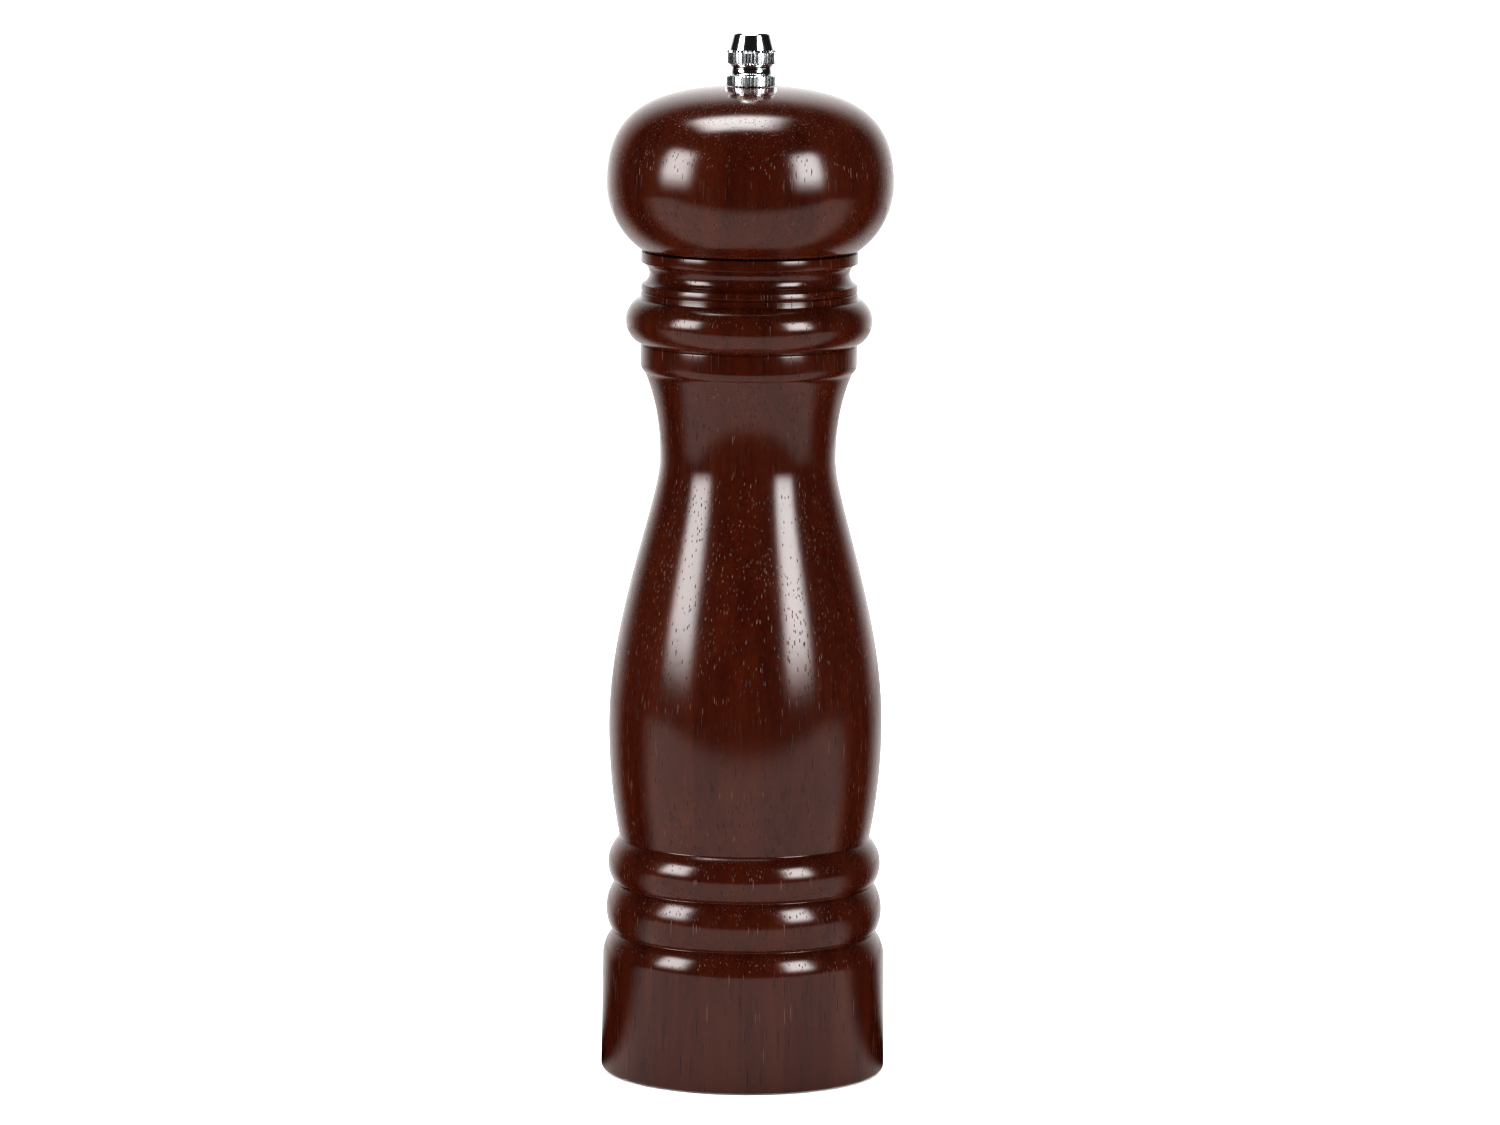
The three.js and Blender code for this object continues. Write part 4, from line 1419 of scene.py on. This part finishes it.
def studio_world(fill):
    """White to look at, dark over the table in reflections, with a pale backdrop far behind."""
    world = bpy.data.worlds.new("Studio")
    bpy.context.scene.world = world
    tree = cleared(world)
    rays = node(tree, "ShaderNodeLightPath").outputs
    parts = axes(tree, node(tree, "ShaderNodeTexCoord").outputs["Generated"])
    back = ranged(tree, parts["Y"], 0.5, 0.92, smooth=True)
    backdrop = times(tree, back, ranged(tree, parts["Z"], 0.92, 0.5, smooth=True))
    far = ranged(tree, parts["Y"], 0.5, 0.9)
    far_table = times(tree, ranged(tree, parts["Z"], -0.05, -0.25), far)
    near_table = ranged(tree, parts["Z"], -0.25, -0.45, 0.0, 0.7)
    below = maths(tree, "MAXIMUM", far_table, near_table)
    room = maths(tree, "MAXIMUM", ranged(tree, backdrop, 0, 1, 0.013, 0.66), below)
    sides = ranged(tree, maths(tree, "ABSOLUTE", parts["X"]), 0, 1, 0.8 * fill, 1.9 * fill)
    even = times(tree, ranged(tree, parts["Y"], -1, 0.6, 0.5, 1.5), sides)
    glossy = times(tree, room, rays["Is Glossy Ray"])
    diffuse = times(tree, even, rays["Is Diffuse Ray"])
    strength = maths(tree, "ADD", maths(tree, "ADD", glossy, diffuse), rays["Is Camera Ray"])
    inputs = {"Color": grey(1), "Strength": strength}
    light = node(tree, "ShaderNodeBackground", inputs).outputs[0]
    node(tree, "ShaderNodeOutputWorld", {0: light})


def round_floor():
    """A round table top just under the foot."""
    bm = bmesh.new()
    place = Matrix.Translation((0, 0, -FLOOR_GAP))
    bmesh.ops.create_circle(bm, cap_ends=True, segments=96, radius=FLOOR_RADIUS, matrix=place)
    mesh = mesh_from("floor", bm)
    mesh.materials.append(floor_material())
    linked("floor", mesh)


def aimed_camera(stage):
    """Sets the camera at its distance and pitch from the point it looks at."""
    data = bpy.data.cameras.new("camera")
    data.sensor_width = 36
    data.lens = stage.lens
    data.clip_start, data.clip_end = 0.05, 30
    camera = linked("camera", data)
    pitch = stage.camera_pitch
    back = Vector((0, -math.cos(pitch), math.sin(pitch)))
    camera.location = AIM + back * stage.camera_distance
    roll = Matrix.Rotation(CAMERA_ROLL, 4, "Z")
    turn = back.to_track_quat("Z", "Y").to_matrix().to_4x4() @ roll
    camera.rotation_euler = turn.to_euler()
    return camera


class MILL_OT_stage(bpy.types.Operator):
    """Sets the floor, the softboxes, the studio round them and the camera"""

    bl_idname = "mill.stage"
    bl_label = "Stage"

    def execute(self, context):
        stage = context.scene.mill_stage
        round_floor()
        studio_world(stage.fill)
        strip = {"distance": 0.95, "height": 0.48, "tall": 0.76, "power": stage.strip_power}
        softbox("left strip", azimuth=-62, width=0.6, **strip)
        softbox("right strip", azimuth=47.5, width=0.54, **strip)
        overhead = softbox("overhead", 180, 0.03, 1.2, 1.0, 0.72, stage.top_power, flat=True)
        overhead.location.x = -0.14
        context.scene.camera = aimed_camera(stage)
        view = context.scene.view_settings
        view.view_transform = "Standard"
        view.look = "High Contrast"
        view.exposure = stage.exposure
        return {"FINISHED"}


# ---- Add-on ----

OPERATORS = (
    MILL_OT_stage,
    MILL_OT_body,
    MILL_OT_head,
    MILL_OT_nut,
    MILL_OT_shaft,
    MILL_OT_burrs,
    MILL_OT_bridge,
    MILL_OT_plates,
    MILL_OT_washers,
    MILL_OT_clip,
    MILL_OT_spring,
    MILL_OT_screws,
)


class MILL_PT_panel(bpy.types.Panel):
    """Lists the steps that build the mill"""

    bl_idname = "MILL_PT_panel"
    bl_label = "Pepper mill"
    bl_space_type = "VIEW_3D"
    bl_region_type = "UI"
    bl_category = "Pepper mill"

    def draw(self, context):
        for attribute, settings in SETTINGS.items():
            box = self.layout.box()
            for name in settings.__annotations__:
                box.prop(getattr(context.scene, attribute), name)
        for operator in OPERATORS:
            self.layout.operator(operator.bl_idname)


def register():
    for made in (*SETTINGS.values(), *OPERATORS, MILL_PT_panel):
        bpy.utils.register_class(made)
    for attribute, settings in SETTINGS.items():
        setattr(bpy.types.Scene, attribute, PointerProperty(type=settings))


def unregister():
    for attribute in SETTINGS:
        delattr(bpy.types.Scene, attribute)
    for made in (MILL_PT_panel, *reversed(OPERATORS), *reversed(SETTINGS.values())):
        bpy.utils.unregister_class(made)


def main():
    """Builds the stage and every piece."""
    register()
    for operator in OPERATORS:
        category, action = operator.bl_idname.split(".")
        getattr(getattr(bpy.ops, category), action)()


if __name__ == "__main__":
    main()
